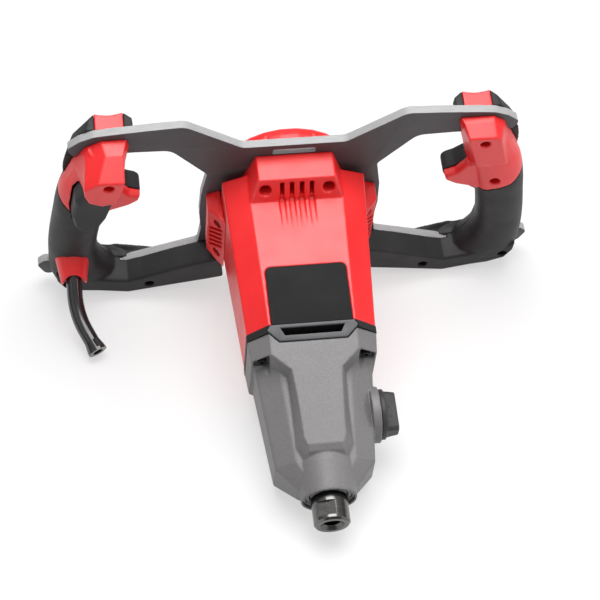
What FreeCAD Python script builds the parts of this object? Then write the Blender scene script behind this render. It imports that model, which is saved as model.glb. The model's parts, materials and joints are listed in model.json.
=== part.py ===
import FreeCAD, Part
import Sketcher
import math
import os

# Two-handled mixing drill lying on its nose, as it rests on a floor.
#
# Tool frame used while building: X to the right handle, Y towards the rear of
# the motor (the spindle points along -Y), Z up in the plane of the frame plate.
# The motor and spindle axis is the Y axis.  Every sub-part is then placed in
# the row frame by one tilt about X and one lift, so that the lower arm covers
# and the gear case touch the floor at Z = 0.

V = FreeCAD.Vector
Rot = FreeCAD.Rotation
Pl = FreeCAD.Placement

doc = FreeCAD.newDocument("mixing_drill")
dims = doc.addObject("Spreadsheet::Sheet", "dims")

TABLE = [
    # resting attitude
    ("rest_tilt", 16.2), ("rest_lift", 92.21), ("rest_shift", 104.71),
    # frame plate
    ("plate_thick", 6.0), ("plate_bore_rad", 42.0), ("saddle_half", 36.5), ("saddle_height", 70.0),
    ("slot_half", 15.2), ("slot_low", 59.6), ("slot_high", 65.2),
    ("frame_bolt_x", 22.5), ("frame_bolt_z", 50.0), ("frame_bolt_rad", 2.5),
    # motor housing
    ("housing_long", 123.0), ("housing_top_rear", 42.7), ("housing_top_front", 36.0),
    ("housing_half_rear", 51.25), ("housing_half_front", 45.0), ("housing_wall", 3.0),
    ("boss_top", 58.7), ("boss_half", 27.3), ("boss_depth", 20.8),
    ("vent_slot_wide", 3.0), ("vent_slot_pitch", 7.0),
    # rear cap
    ("cap_rad", 50.0), ("cap_rear_rad", 45.4), ("cap_long", 24.6),
    # gear case
    ("case_start", 128.0), ("case_flange", 143.0), ("case_shoulder", 205.0), ("case_end", 240.0),
    ("mouth_rad", 18.2), ("nose_rad", 21.5), ("selector_y", 178.0), ("selector_z", 4.0),
    ("selector_boss_rad", 19.6), ("selector_face", 42.0),
    # motor
    ("shaft_rad", 6.0), ("core_rad", 25.0), ("stator_bore", 26.0), ("stator_rad", 34.0),
    ("commutator_rad", 14.0), ("fan_rad", 31.0), ("fan_blades", 9),
    # gears
    ("gear_module", 1.25), ("teeth_motor", 10), ("teeth_counter", 24), ("teeth_low_pinion", 10),
    ("teeth_low", 24), ("teeth_high_pinion", 14), ("teeth_high", 20), ("gear_backlash", 0.13),
    ("counter_offset", 21.25), ("run_clear", 0.06),
    # spindle
    ("spindle_rad", 12.5), ("spindle_tip", 258.5), ("spindle_flat", 10.6),
    ("thread_rad", 5.9), ("thread_depth", 24.0),
    # selector
    ("selector_turn", 90.0), ("selector_crank", 2.475), ("selector_rod_rad", 5.0),
    # handles
    ("grip_x", 160.5), ("grip_half", 18.2), ("grip_depth", 18.0), ("shell_wall", 3.2),
    ("cover_front", 19.0), ("cap_front_right", 17.2), ("cap_front_left", 31.4),
    ("trigger_pivot_y", 21.0), ("trigger_pivot_z", 66.0), ("trigger_pin_rad", 2.0),
    # cable entry
    ("sleeve_rad", 5.75), ("sleeve_bore", 3.9), ("sleeve_flare", 7.2),
]
for i, (alias, value) in enumerate(TABLE, start=1):
    dims.set("A%d" % i, alias)
    dims.set("B%d" % i, str(value))
    dims.setAlias("B%d" % i, alias)
doc.recompute()
D = dict((alias, float(dims.get(alias))) for alias, value in TABLE)

PARTS = []          # (object, node name, local placement)


def num(e):
    if isinstance(e, str):
        return -D[e[1:]] if e.startswith("-") else D[e]
    return float(e)


def bind(obj, prop, e):
    """A property takes a plain number, or follows a cell of the sheet."""
    if isinstance(e, str):
        obj.setExpression(prop, ("-dims." + e[1:]) if e.startswith("-") else "dims." + e)
    else:
        setattr(obj, prop, e)


def node(obj, name, local=None):
    obj.Label = name
    PARTS.append((obj, name, local if local is not None else Pl()))
    return obj


# ---------------------------------------------------------------- sketches
def outline(sk, pts):
    """Closed polygon, each corner held by its distances from the origin."""
    base = sk.GeometryCount
    xy = [(num(a), num(b)) for a, b in pts]
    n = len(xy)
    sk.addGeometry([Part.LineSegment(V(xy[i][0], xy[i][1], 0),
                                     V(xy[(i + 1) % n][0], xy[(i + 1) % n][1], 0)) for i in range(n)], False)
    cons = [Sketcher.Constraint("Coincident", base + i, 2, base + (i + 1) % n, 1) for i in range(n)]
    held = []
    for i in range(n):
        for axis, line, e, v in (("DistanceX", -2, pts[i][0], xy[i][0]), ("DistanceY", -1, pts[i][1], xy[i][1])):
            if abs(v) < 1e-9:
                cons.append(Sketcher.Constraint("PointOnObject", base + i, 1, line))
            elif v > 0:
                cons.append(Sketcher.Constraint(axis, -1, 1, base + i, 1, v))
            else:
                cons.append(Sketcher.Constraint(axis, base + i, 1, -1, 1, -v))
            if isinstance(e, str) and abs(v) >= 1e-9:
                held.append((len(cons) - 1, e.lstrip("-")))
    ids = sk.addConstraint(cons)
    for k, alias in held:
        sk.setExpression("Constraints[%d]" % ids[k], "dims." + alias)


def ring(sk, cx, cz, r):
    g = sk.addGeometry(Part.Circle(V(num(cx), num(cz), 0), V(0, 0, 1), num(r)), False)
    k = sk.addConstraint(Sketcher.Constraint("Radius", g, num(r)))
    if isinstance(r, str):
        sk.setExpression("Constraints[%d]" % k, "dims." + r)
    for axis, line, e in (("DistanceX", -2, cx), ("DistanceY", -1, cz)):
        v = num(e)
        if abs(v) < 1e-9:
            sk.addConstraint(Sketcher.Constraint("PointOnObject", g, 3, line))
            continue
        k = sk.addConstraint(Sketcher.Constraint(axis, -1, 1, g, 3, v) if v > 0
                             else Sketcher.Constraint(axis, g, 3, -1, 1, -v))
        if isinstance(e, str):
            sk.setExpression("Constraints[%d]" % k, "dims." + e.lstrip("-"))


PLANES = {"XZ": Rot(V(1, 0, 0), 90), "XY": Rot(), "YZ": Rot(V(1, 1, 1), 120)}


def free_sketch(name, plane, off, pts=None, rings=()):
    """A sketch on a plane parallel to an origin plane.
    off is the plane's own coordinate: y for XZ, z for XY, x for YZ."""
    sk = doc.addObject("Sketcher::SketchObject", name)
    at = {"XZ": V(0, off, 0), "XY": V(0, 0, off), "YZ": V(off, 0, 0)}[plane]
    sk.Placement = Pl(at, PLANES[plane])
    if pts:
        outline(sk, pts)
    for c in rings:
        ring(sk, *c)
    return sk


def prism(name, plane, pts, lo, hi, rings=()):
    """Sketch pushed from coordinate lo to hi along the plane's axis."""
    lo_n, hi_n = num(lo), num(hi)
    sk = free_sketch(name + "_sk", plane, lo_n, pts, rings)
    ex = doc.addObject("Part::Extrusion", name)
    ex.Base = sk
    ex.DirMode = "Custom"
    ex.Dir = {"XZ": V(0, 1, 0), "XY": V(0, 0, 1), "YZ": V(1, 0, 0)}[plane]
    ex.LengthFwd = hi_n - lo_n
    ex.Solid = True
    return ex


def loft(name, plane, sections, ruled=True):
    """sections: (offset, points)"""
    sks = [free_sketch("%s_s%d" % (name, i), plane, num(off), pts) for i, (off, pts) in enumerate(sections)]
    lf = doc.addObject("Part::Loft", name)
    lf.Sections = sks
    lf.Solid = True
    lf.Ruled = ruled
    return lf


def oval_loft(name, rows):
    """rows: (z, cx, cy, half width, half depth), sixteen-sided ovals in level planes"""
    secs = []
    for z, cx, cy, ax, ay in rows:
        pts = []
        for k in range(16):
            a = 2 * math.pi * (k + 0.5) / 16
            ca, sa = math.cos(a), math.sin(a)
            pts.append((cx + ax * math.copysign(abs(ca) ** 0.86, ca), cy + ay * math.copysign(abs(sa) ** 0.86, sa)))
        secs.append((z, pts))
    return loft(name, "XY", secs)


def box(name, lo, hi):
    b = doc.addObject("Part::Box", name)
    b.Length, b.Width, b.Height = (hi[0] - lo[0], hi[1] - lo[1], hi[2] - lo[2])
    b.Placement = Pl(V(*lo), Rot())
    return b


def cyl(name, r, length, base, direction):
    c = doc.addObject("Part::Cylinder", name)
    bind(c, "Radius", r)
    bind(c, "Height", length)
    c.Placement = Pl(V(*base), Rot(V(0, 0, 1), V(*direction)))
    return c


def cone(name, r1, r2, length, base, direction):
    c = doc.addObject("Part::Cone", name)
    c.Radius1, c.Radius2, c.Height = num(r1), num(r2), num(length)
    c.Placement = Pl(V(*base), Rot(V(0, 0, 1), V(*direction)))
    return c


def fuse(name, *objs):
    f = doc.addObject("Part::MultiFuse", name)
    f.Shapes = list(objs)
    f.Refine = True
    return f


def cut(name, base, *tools):
    c = doc.addObject("Part::Cut", name)
    c.Base = base
    c.Tool = tools[0] if len(tools) == 1 else fuse(name + "_tools", *tools)
    return c


def common(name, a, b):
    c = doc.addObject("Part::MultiCommon", name)
    c.Shapes = [a, b]
    return c


def mirror(name, src):
    m = doc.addObject("Part::Mirroring", name)
    m.Source = src
    m.Base = V(0, 0, 0)
    m.Normal = V(1, 0, 0)
    return m


def group(name, objs):
    c = doc.addObject("Part::Compound", name)
    c.Links = list(objs)
    return c


def round_edges(name, base, r, pick):
    """Fillet of the edges that pick(edge) accepts."""
    doc.recompute()
    ids = [i for i, e in enumerate(base.Shape.Edges, start=1) if pick(e)]
    f = doc.addObject("Part::Fillet", name)
    f.Base = base
    f.Edges = [(i, r, r) for i in ids]
    doc.recompute()
    if not ids or f.Shape.isNull() or not f.Shape.isValid() or "Invalid" in f.State or "Error" in f.State:
        print("no rounding on", name, len(ids))
        doc.removeObject(f.Name)
        doc.recompute()
        return base
    return f


def along(e, axis, tol=0.02):
    """True for a straight edge roughly along the axis."""
    if len(e.Vertexes) != 2:
        return False
    d = e.Vertexes[1].Point - e.Vertexes[0].Point
    if d.Length < 1e-6 or abs(e.Length - d.Length) > 1e-4:
        return False
    return abs(abs(d.dot(V(*axis))) / d.Length - 1.0) < tol


# ------------------------------------------------------------ turned bodies
def plane_of(body, role):
    for f in body.Origin.OriginFeatures:
        if f.Role == role:
            return f
    raise RuntimeError(role)


def turned(name, profile, local=None, keep=True):
    """A piece turned about the Y axis: profile points are (radius, y)."""
    body = doc.addObject("PartDesign::Body", name + "_body")
    sk = body.newObject("Sketcher::SketchObject", name + "_profile")
    sk.AttachmentSupport = [(plane_of(body, "XY_Plane"), "")]
    sk.MapMode = "FlatFace"
    outline(sk, profile)
    rev = body.newObject("PartDesign::Revolution", name + "_turn")
    rev.Profile = sk
    rev.ReferenceAxis = (sk, ["V_Axis"])
    rev.Angle = 360.0
    if keep:
        node(body, name, local)
    return body


# =================================================================== frame
plate = doc.addObject("PartDesign::Body", "frame_plate_body")
sk = plate.newObject("Sketcher::SketchObject", "plate_outline")
sk.AttachmentSupport = [(plane_of(plate, "XZ_Plane"), "")]
sk.MapMode = "FlatFace"
HALF = [("saddle_half", "saddle_height"), (77.0, 100.3), (101.0, 98.8), (128.0, 96.3), (140.0, 94.8), (149.5, 90.2),
        (158.6, 82.0), (154.5, 72.6), (112.0, 73.3), (87.0, 72.4), (61.2, 39.0), (65.2, 12.0), (66.2, -13.0),
        (64.9, -35.0), (67.0, -55.0), (125.0, -76.0), (140.0, -72.6), (182.0, -66.6), (188.2, -72.4), (182.0, -86.2),
        (160.0, -80.5), (142.0, -82.8), (121.0, -87.8), (88.0, -81.6), (62.0, -76.5), (36.0, -68.0)]
neg = lambda a: ("-" + a) if isinstance(a, str) else -a
OUTLINE = [(a, b) for a, b in HALF] + [(neg(a), b) for a, b in reversed(HALF)]
outline(sk, OUTLINE)
pad = plate.newObject("PartDesign::Pad", "plate_pad")
pad.Profile = sk
pad.Reversed = True                      # the sketch looks along -Y: the plate grows to +Y
bind(pad, "Length", "plate_thick")
doc.recompute()
assert abs(pad.Shape.BoundBox.YMax - D["plate_thick"]) < 1e-6

sk = plate.newObject("Sketcher::SketchObject", "plate_holes")
sk.AttachmentSupport = [(plane_of(plate, "XZ_Plane"), "")]
sk.MapMode = "FlatFace"
ring(sk, 0, 0, "plate_bore_rad")
for sx in ("frame_bolt_x", "-frame_bolt_x"):
    for sz in ("frame_bolt_z", "-frame_bolt_z"):
        ring(sk, sx, sz, 2.75)
for x, z in ((131.7, 80.3), (166.0, -72.0), (104.8, -79.6), (-131.6, 76.8), (-166.0, -72.0), (-104.8, -79.6)):
    ring(sk, x, z, 2.3)
outline(sk, [("slot_half", "slot_low"), ("slot_half", "slot_high"), ("-slot_half", "slot_high"), ("-slot_half", "slot_low")])
poc = plate.newObject("PartDesign::Pocket", "plate_cuts")
poc.Profile = sk
poc.Type = "ThroughAll"
poc.Midplane = True
before = pad.Shape.Volume
doc.recompute()
assert poc.Shape.Volume < before - 30000.0


def upright(shape, corners, tol=0.4):
    """Names of the straight Y edges that stand on the given XZ corners."""
    out = []
    for i, e in enumerate(shape.Edges, start=1):
        if along(e, (0, 1, 0), 1e-4):
            p = e.Vertexes[0].Point
            if any(math.hypot(abs(p.x) - c[0], p.z - c[1]) < tol for c in corners):
                out.append("Edge%d" % i)
    return out


last = poc
for k, (r, corners) in enumerate([
        (12.0, [(77.0, 100.3), (87.0, 72.4)]),
        (9.0, [(36.5, 70.0), (149.5, 90.2), (140.0, 94.8), (125.0, -76.0), (65.2, 12.0), (66.2, -13.0), (64.9, -35.0)]),
        (4.5, [(61.2, 39.0), (67.0, -55.0), (158.6, 82.0), (154.5, 72.6), (188.2, -72.4), (182.0, -86.2), (182.0, -66.6)]),
        (1.2, [(15.2, 59.6), (15.2, 65.2)])]):
    f = plate.newObject("PartDesign::Fillet", "plate_round%d" % k)
    f.Base = (last, upright(last.Shape, corners))
    f.Radius = r
    doc.recompute()
    if "Invalid" in f.State or f.Shape.isNull() or not f.Shape.isValid():
        print("plate rounding", r, "left out")
        plate.removeObject(f)
        doc.removeObject(f.Name)
        plate.Tip = last
        doc.recompute()
    else:
        last = f
node(plate, "frame_plate")
doc.recompute()

# plate envelope that the shells are cleared by
plate_env = prism("plate_env", "XZ", OUTLINE, 0.0, D["plate_thick"])

# ================================================================ housing
HT0, HT1, HL = D["housing_top_rear"], D["housing_top_front"], D["housing_long"]


def top_z(y):
    """Height of the housing's flat top at y (y is negative)."""
    return HT0 + (HT1 - HT0) * ((-y - 5.0) / (HL - 5.0))


R0 = [(-33.4, HT0), (33.4, HT0), (51.25, 35.0), (51.25, -41.0), (36.0, -50.0), (-36.0, -50.0), (-51.25, -41.0), (-51.25, 35.0)]
RN = [(-29.0, 33.0), (29.0, 33.0), (46.5, 24.6), (46.5, -36.4), (32.6, -44.6), (-32.6, -44.6), (-46.5, -36.4), (-46.5, 24.6)]
R1 = [(-30.0, HT1), (30.0, HT1), (45.0, 23.0), (45.0, -28.0), (31.0, -41.0), (-31.0, -41.0), (-45.0, -28.0), (-45.0, 23.0)]
R0 = [("-housing_half_rear" if a == -51.25 else "housing_half_rear" if a == 51.25 else a,
       "housing_top_rear" if b == HT0 else b) for a, b in R0]
R1 = [("-housing_half_front" if a == -45.0 else "housing_half_front" if a == 45.0 else a,
       "housing_top_front" if b == HT1 else b) for a, b in R1]
I0 = [(-31.8, 39.4), (31.8, 39.4), (48.0, 32.4), (48.0, -38.8), (34.8, -46.6), (-34.8, -46.6), (-48.0, -38.8), (-48.0, 32.4)]
IN = [(-27.4, 28.6), (27.4, 28.6), (43.0, 21.2), (43.0, -34.0), (31.2, -40.8), (-31.2, -40.8), (-43.0, -34.0), (-43.0, 21.2)]
I1 = [(-28.8, 33.0), (28.8, 33.0), (42.0, 21.6), (42.0, -26.6), (29.8, -38.0), (-29.8, -38.0), (-42.0, -26.6), (-42.0, 21.6)]

# a sloped neck at the rear end keeps the edge of the housing clear of the plate
shell = loft("housing_outer", "XZ", [(-5.0, R0), (-HL, R1)])
shell = round_edges("housing_soft", shell, 2.2, lambda e: along(e, (0, 1, 0), 0.02))
neck = loft("housing_neck", "XZ", [(0.0, RN), (-5.2, [(num(a) * 0.985, num(b) * 0.985) for a, b in R0])])
boss = loft("housing_boss", "XY", [
    (30.0, [(-37.06, 0.0), (37.06, 0.0), (37.06, -32.7), (-37.06, -32.7)]),
    (D["boss_top"], [("-boss_half", 0.0), ("boss_half", 0.0), ("boss_half", "-boss_depth"), ("-boss_half", "-boss_depth")])])
boss = round_edges("housing_boss_soft", boss, 1.4,
                   lambda e: all(v.Z > 39.5 for v in e.Vertexes) and not all(abs(v.Y) < 0.01 for v in e.Vertexes)
                   or (any(v.Z > 39.5 for v in e.Vertexes) and all(v.Y < -15 for v in e.Vertexes)))
foot = loft("housing_foot", "XY", [
    (-62.0, [(-28.0, 0.0), (28.0, 0.0), (28.0, -18.0), (-28.0, -18.0)]),
    (-46.0, [(-34.0, 0.0), (34.0, 0.0), (34.0, -26.0), (-34.0, -26.0)])])
cavity = loft("housing_cavity", "XZ", [(1.0, IN), (-8.0, I0), (-HL - 1.0, I1)])
hs = cut("housing_hollow", fuse("housing_solid", shell, neck, boss, foot), cavity)

tools = []
for sx in (-1, 1):
    for bz in (1, -1):
        tools.append(cyl("hb_%d_%d" % (sx, bz), 2.8, 60.0, (sx * D["frame_bolt_x"], 1.0, bz * D["frame_bolt_z"]), (0, -1, 0)))
        tools.append(cyl("hr_%d_%d" % (sx, bz), 4.4, 40.0, (sx * D["frame_bolt_x"], -13.0, bz * D["frame_bolt_z"]), (0, -1, 0)))
for k in range(4):
    x = (k - 1.5) * D["vent_slot_pitch"]
    tools.append(box("hs_%d" % k, (x - D["vent_slot_wide"] / 2, -30.0, 43.4), (x + D["vent_slot_wide"] / 2, -5.0, 55.6)))
    # flute that runs out of the slot and fades on the flat top
    yz = [(-25.0, top_z(-25.0) + 2.0), (-25.0, top_z(-25.0) - 1.6), (-52.0, top_z(-52.0) + 0.05), (-52.0, top_z(-52.0) + 2.0)]
    tools.append(prism("hf_%d" % k, "YZ", yz, x - 2.2, x + 2.2))
# seat of the badge and windows under the side vents
yz = [(-78.6, top_z(-78.6) + 3.0), (-78.6, top_z(-78.6) - 0.9), (-124.0, top_z(-124.0) - 0.9), (-124.0, top_z(-124.0) + 3.0)]
seat = prism("badge_seat", "YZ", yz, -28.8, 28.8)
seat = round_edges("badge_seat_soft", seat, 4.4, lambda e: along(e, (0, 0, 1), 0.02) and e.Vertexes[0].Y > -100.0)
tools.append(seat)
for sx in (-1, 1):
    lo, hi = sorted((sx * 40.0, sx * 58.0))
    tools.append(box("hw_%d" % sx, (lo, -21.0, -28.0), (hi, -5.0, -2.0)))
node(cut("motor_housing_cut", hs, *tools), "motor_housing")

yz = [(-79.1, top_z(-79.1) + 0.35), (-79.1, top_z(-79.1) - 0.85), (-122.98, top_z(-122.98) - 0.85), (-122.98, top_z(-122.98) + 0.35)]
badge = prism("badge_blank", "YZ", yz, -28.3, 28.3)
badge = round_edges("badge_soft", badge, 4.0, lambda e: along(e, (0, 0, 1), 0.02) and e.Vertexes[0].Y > -100.0)
node(badge, "badge_plate")

# side vent covers: wedges with slanted louvres and two screw seats
vent_xy = [(51.52, -0.05), (61.6, -0.05), (61.6, -13.5), (50.0, -28.8)]
wedge = prism("vent_wedge", "XY", vent_xy, -46.0, 16.5)
wedge_clip = prism("vent_clip", "XZ", [(47.0, 17.0), (53.0, 17.0), (64.0, 12.5), (64.0, -41.0), (53.0, -47.0), (47.0, -47.0)], -40.0, 1.0)
wedge = common("vent_shape", wedge, wedge_clip)
slats = []
run = V(-0.604, -0.797, 0.0)                 # along the slanted face, towards the nose
out = V(0.797, -0.604, 0.0)
lift = math.radians(38.0)
climb = run * math.cos(lift) + V(0, 0, math.sin(lift))
over = climb.cross(out)
for k in range(5):
    b = doc.addObject("Part::Box", "louvre_%d" % k)
    b.Length, b.Width, b.Height = 18.0, 9.0, 2.6
    mid = V(55.8, -21.15, -26.4 + k * 5.6) - run * 1.2
    b.Placement = Pl(mid - climb * 9.0 - out * 6.0 - over * 1.3, Rot(climb, out, over, "XYZ"))
    slats.append(b)
slat_cut = fuse("louvres", *slats)
seats = []
for z in (4.6, -34.6):
    c = cyl("vent_seat_%d" % int(z), 3.9, 30.0, (55.4, -21.2, z), (0.78, -0.62, 0))
    c2 = cyl("vent_hole_%d" % int(z), 1.6, 30.0, (55.4, -21.2, z), (-0.78, 0.62, 0))
    c3 = cyl("vent_deep_%d" % int(z), 3.9, 4.0, (55.4, -21.2, z), (-0.78, 0.62, 0))
    seats += [c, c2, c3]
vent_r = cut("vent_right_cut", wedge, slat_cut, *seats)
node(vent_r, "vent_cover_right")
node(mirror("vent_left_cut", cut("vent_left_half", wedge, slat_cut, *seats)), "vent_cover_left")

# ================================================================ rear cap
def polygon(n, r, phase=0.0, cz=0.0):
    return [(r * math.sin(phase + 2 * math.pi * i / n), cz + r * math.cos(phase + 2 * math.pi * i / n)) for i in range(n)]


PT = D["plate_thick"]
SIDES = 24
ph = math.pi / SIDES
cap_out = loft("cap_outer", "XZ", [(PT, polygon(SIDES, D["cap_rad"], ph)), (PT + 17.0, polygon(SIDES, D["cap_rad"] - 0.6, ph)),
                                   (PT + 21.6, polygon(SIDES, D["cap_rad"] - 2.0, ph)), (PT + D["cap_long"], polygon(SIDES, D["cap_rear_rad"], ph))])
cap_in = loft("cap_inner", "XZ", [(PT - 1.0, polygon(SIDES, D["cap_rad"] - 3.2, ph)), (PT + 17.0, polygon(SIDES, D["cap_rad"] - 3.8, ph)),
                                  (PT + D["cap_long"] - 3.0, polygon(SIDES, D["cap_rear_rad"] - 3.0, ph))])
cap_shell = cut("cap_hollow", cap_out, cap_in)
posts = [cyl("cap_post_%d_%d" % (sx, bz), 5.8, 8.4, (sx * D["frame_bolt_x"], PT, bz * D["frame_bolt_z"]), (0, 1, 0)) for sx in (-1, 1) for bz in (-1, 1)]
posts.append(cyl("cap_hub", 17.0, PT + D["cap_long"] - 14.0, (0, 13.0, 0), (0, 1, 0)))
cap_full = fuse("cap_full", cap_shell, *posts)
tools = [cyl("cap_tap_%d_%d" % (sx, bz), "frame_bolt_rad", 8.2, (sx * D["frame_bolt_x"], PT - 1.0, bz * D["frame_bolt_z"]), (0, 1, 0)) for sx in (-1, 1) for bz in (-1, 1)]
tools.append(cyl("cap_bearing_seat", 13.0, 10.4, (0, 12.0, 0), (0, 1, 0)))
tools.append(cyl("cap_shaft_room", 9.0, 3.4, (0, 22.0, 0), (0, 1, 0)))
for k in range(-3, 4):
    for sz in (-1, 1):
        lo, hi = sorted((sz * 20.0, sz * 36.0 + (-sz * 1.6 * abs(k))))
        tools.append(box("cap_slot_%d_%d" % (k, sz), (k * 7.0 - 1.6, PT + D["cap_long"] - 6.0, lo), (k * 7.0 + 1.6, PT + D["cap_long"] + 1.0, hi)))
for sx in (-1, 1):
    lo, hi = sorted((sx * 15.3, sx * 18.7))
    tools.append(box("cap_groove_%d" % sx, (lo, PT - 1.0, 45.6), (hi, PT + 30.0, 60.0)))
node(cut("rear_cap_cut", cap_full, *tools), "rear_cap")

# ==================================================== bearing flange (dark)
HLF = -D["case_start"]
fl = loft("flange_rim", "XZ", [(-HL, [(num(a) * 1.004, num(b) * 1.004) for a, b in R1]), (HLF, [(num(a) * 1.004, num(b) * 1.004) for a, b in R1])])
hubc = cyl("flange_hub", 18.0, 12.0, (0, -123.0, 0), (0, -1, 0))
flange_body = fuse("flange_join", fl, hubc)
tools = [cyl("flange_bore", 14.0, 20.0, (0, -126.0, 0), (0, -1, 0)), cyl("flange_eye", 8.0, 30.0, (0, -120.0, 0), (0, -1, 0)),
         loft("flange_air", "XZ", [(-120.0, [(-20.0, 20.0), (-22.0, 30.0), (22.0, 30.0), (20.0, 20.0)]),
                                   (-129.0, [(-20.0, 20.0), (-22.0, 30.0), (22.0, 30.0), (20.0, 20.0)])])]
FRAME_XY = [(-29.0, -123.15), (29.0, -123.15), (31.6, -126.6), (23.4, -134.4), (-23.4, -134.4), (-31.6, -126.6)]
FRAME_GAP = [(-29.3, -123.0), (29.3, -123.0), (32.3, -126.6), (23.8, -135.0), (-23.8, -135.0), (-32.3, -126.6)]
tools.append(prism("flange_frame_room", "XY", FRAME_GAP, 24.0, 45.0))
for sx in (-1, 1):
    for z in (19.6, -31.0):
        tools.append(cyl("flange_screw_%d_%d" % (sx, int(z)), 2.3, 20.0, (sx * 36.0, -118.0, z), (0, -1, 0)))
node(cut("bearing_flange_cut", flange_body, *tools), "bearing_flange")

# exhaust frame: slanted grey hexagon with the air outlet
yz = [(-123.15, 24.0), (-134.4, 24.0), (-134.4, 33.4), (-123.15, 36.42)]
fr_side = prism("exhaust_side", "YZ", yz, -34.0, 34.0)
fr_plan = prism("exhaust_plan", "XY", FRAME_XY, 20.0, 45.0)
fr = common("exhaust_block", fr_side, fr_plan)
fr_win = loft("exhaust_window", "XY", [(22.0, [(-21.9, -125.6), (21.9, -125.6), (18.9, -130.4), (-18.9, -130.4)]),
                                      (40.0, [(-22.7, -125.2), (22.7, -125.2), (19.7, -130.8), (-19.7, -130.8)])])
node(cut("exhaust_frame_cut", fr, fr_win), "exhaust_frame")

# ============================================================== gear case
CF, CS, CE = -D["case_flange"], -D["case_shoulder"], -D["case_end"]
flange_oct = [(-30.0, 34.2), (30.0, 34.2), (45.0, 22.6), (45.0, -28.0), (31.0, -41.0), (-31.0, -41.0), (-45.0, -28.0), (-45.0, 22.6)]
flange_oct2 = [(-30.4, 31.6), (30.4, 31.6), (43.6, 21.6), (43.6, -28.0), (30.6, -40.6), (-30.6, -40.6), (-43.6, -28.0), (-43.6, 21.6)]
gc_flange = loft("case_flange_block", "XZ", [(HLF, flange_oct), (CF, flange_oct2)])
body_a = [(-26.0, 22.0), (26.0, 22.0), (42.6, 12.0), (42.6, -26.0), (29.0, -40.2), (-29.0, -40.2), (-42.6, -26.0), (-42.6, 12.0)]
body_b = [(-20.5, 14.0), (20.5, 14.0), (34.4, 4.6), (34.4, -23.4), (23.6, -33.25), (-23.6, -33.25), (-34.4, -23.4), (-34.4, 4.6)]
body_c = [(-12.0, 12.0), (12.0, 12.0), (20.6, 4.6), (20.6, -11.0), (12.8, -20.6), (-12.8, -20.6), (-20.6, -11.0), (-20.6, 4.6)]
gc_body = loft("case_body", "XZ", [(-129.0, [(num(a) * 1.0, num(b) * 1.0) for a, b in body_a]), (CS - 11.0, body_b), (CS - 28.0, body_c)])
gc_body = round_edges("case_body_soft", gc_body, 4.0, lambda e: along(e, (0, 1, 0), 0.25) and all(v.Y > CS - 11.6 for v in e.Vertexes))
gc_nose = cone("case_nose", "nose_rad", 19.1, 22.5, (0, -217.5, 0), (0, -1, 0))
gc_nose2 = cone("case_nose_root", 18.8, "nose_rad", 14.0, (0, -203.5, 0), (0, -1, 0))
# raised rib with sloping sides: plan outline at the foot and at the crest
rib_lo = [(-33.0, -130.0), (33.0, -130.0), (33.0, -146.0), (23.5, -156.0), (24.0, -211.0), (17.0, -222.0), (-17.0, -222.0), (-24.0, -211.0), (-23.5, -156.0), (-33.0, -146.0)]
rib_hi = [(-30.2, -130.0), (30.2, -130.0), (30.2, -143.0), (16.2, -155.0), (8.6, -198.0), (7.2, -204.5), (-7.2, -204.5), (-8.6, -198.0), (-16.2, -155.0), (-30.2, -143.0)]
rib = loft("case_rib", "XY", [(6.0, rib_lo), (36.0, rib_hi)])
rib_top = prism("case_rib_top", "YZ", [(-128.0, 0.0), (-225.0, 0.0), (-225.0, 17.0), (-218.6, 18.2), (-208.6, 24.0), (-128.0, 33.8)], -40.0, 40.0)
rib = common("case_rib_cut", rib, rib_top)
gc_boss = cyl("case_selector_boss", "selector_boss_rad", 6.0, (D["selector_face"] - 6.0, -D["selector_y"], -D["selector_z"]), (1, 0, 0))
gc_solid = fuse("case_solid", gc_flange, gc_body, gc_nose, gc_nose2, rib, gc_boss)
# screw seats in the four corners of the flange, open to the front
tools = []
for sx in (-1, 1):
    lo, hi = sorted((sx * 30.9, sx * 46.0))
    tools.append(box("case_seat_up_%d" % sx, (lo, -163.0, 18.5), (hi, CF, 40.0)))
    tools.append(box("case_seat_dn_%d" % sx, (lo, -163.0, -45.0), (hi, CF, -26.5)))
    tools.append(prism("case_pocket_%d" % sx, "XZ", [(sx * a, b) for a, b in ((31.2, 14.6), (41.8, 14.6), (41.8, 21.8), (31.2, 29.0))], -151.0, -139.4))
    for z in (19.6, -31.0):
        tools.append(cyl("case_screw_hole_%d_%d" % (sx, int(z)), 2.3, 30.0, (sx * 36.0, -120.0, z), (0, -1, 0)))
in_a = [(-24.0, 19.0), (24.0, 19.0), (38.6, 10.0), (38.6, -24.5), (27.0, -36.2), (-27.0, -36.2), (-38.6, -24.5), (-38.6, 10.0)]
in_b = [(-18.0, 11.6), (18.0, 11.6), (31.6, 3.0), (31.6, -23.0), (22.0, -31.8), (-22.0, -31.8), (-31.6, -23.0), (-31.6, 3.0)]
keep = []
for sx in (-1, 1):
    lo, hi = sorted((sx * 27.8, sx * 50.0))
    keep.append(box("case_keep_up_%d" % sx, (lo, -166.0, 11.6), (hi, -125.0, 45.0)))
    keep.append(box("case_keep_dn_%d" % sx, (lo, -166.0, -50.0), (hi, -125.0, -23.4)))
case_room = cut("case_room_trim", loft("case_room", "XZ", [(-127.0, in_a), (-203.0, in_b)]), *keep)
tools.append(case_room)
tools.append(loft("case_room_up", "XY", [(0.0, [(-18.6, -127.0), (18.6, -127.0), (18.0, -203.0), (-18.0, -203.0)]),
                                         (17.4, [(-14.5, -127.0), (14.5, -127.0), (12.0, -201.0), (-12.0, -201.0)])]))
tools.append(cyl("case_gear_room", 17.2, 75.0, (0, -127.0, 0), (0, -1, 0)))
tools.append(cyl("case_hub_room", 18.4, 12.0, (0, -126.0, 0), (0, -1, 0)))
tools.append(cyl("case_bearing_bore", 16.0, 16.0, (0, -201.0, 0), (0, -1, 0)))
tools.append(cyl("case_mid_bore", 14.0, 20.0, (0, -214.0, 0), (0, -1, 0)))
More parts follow.
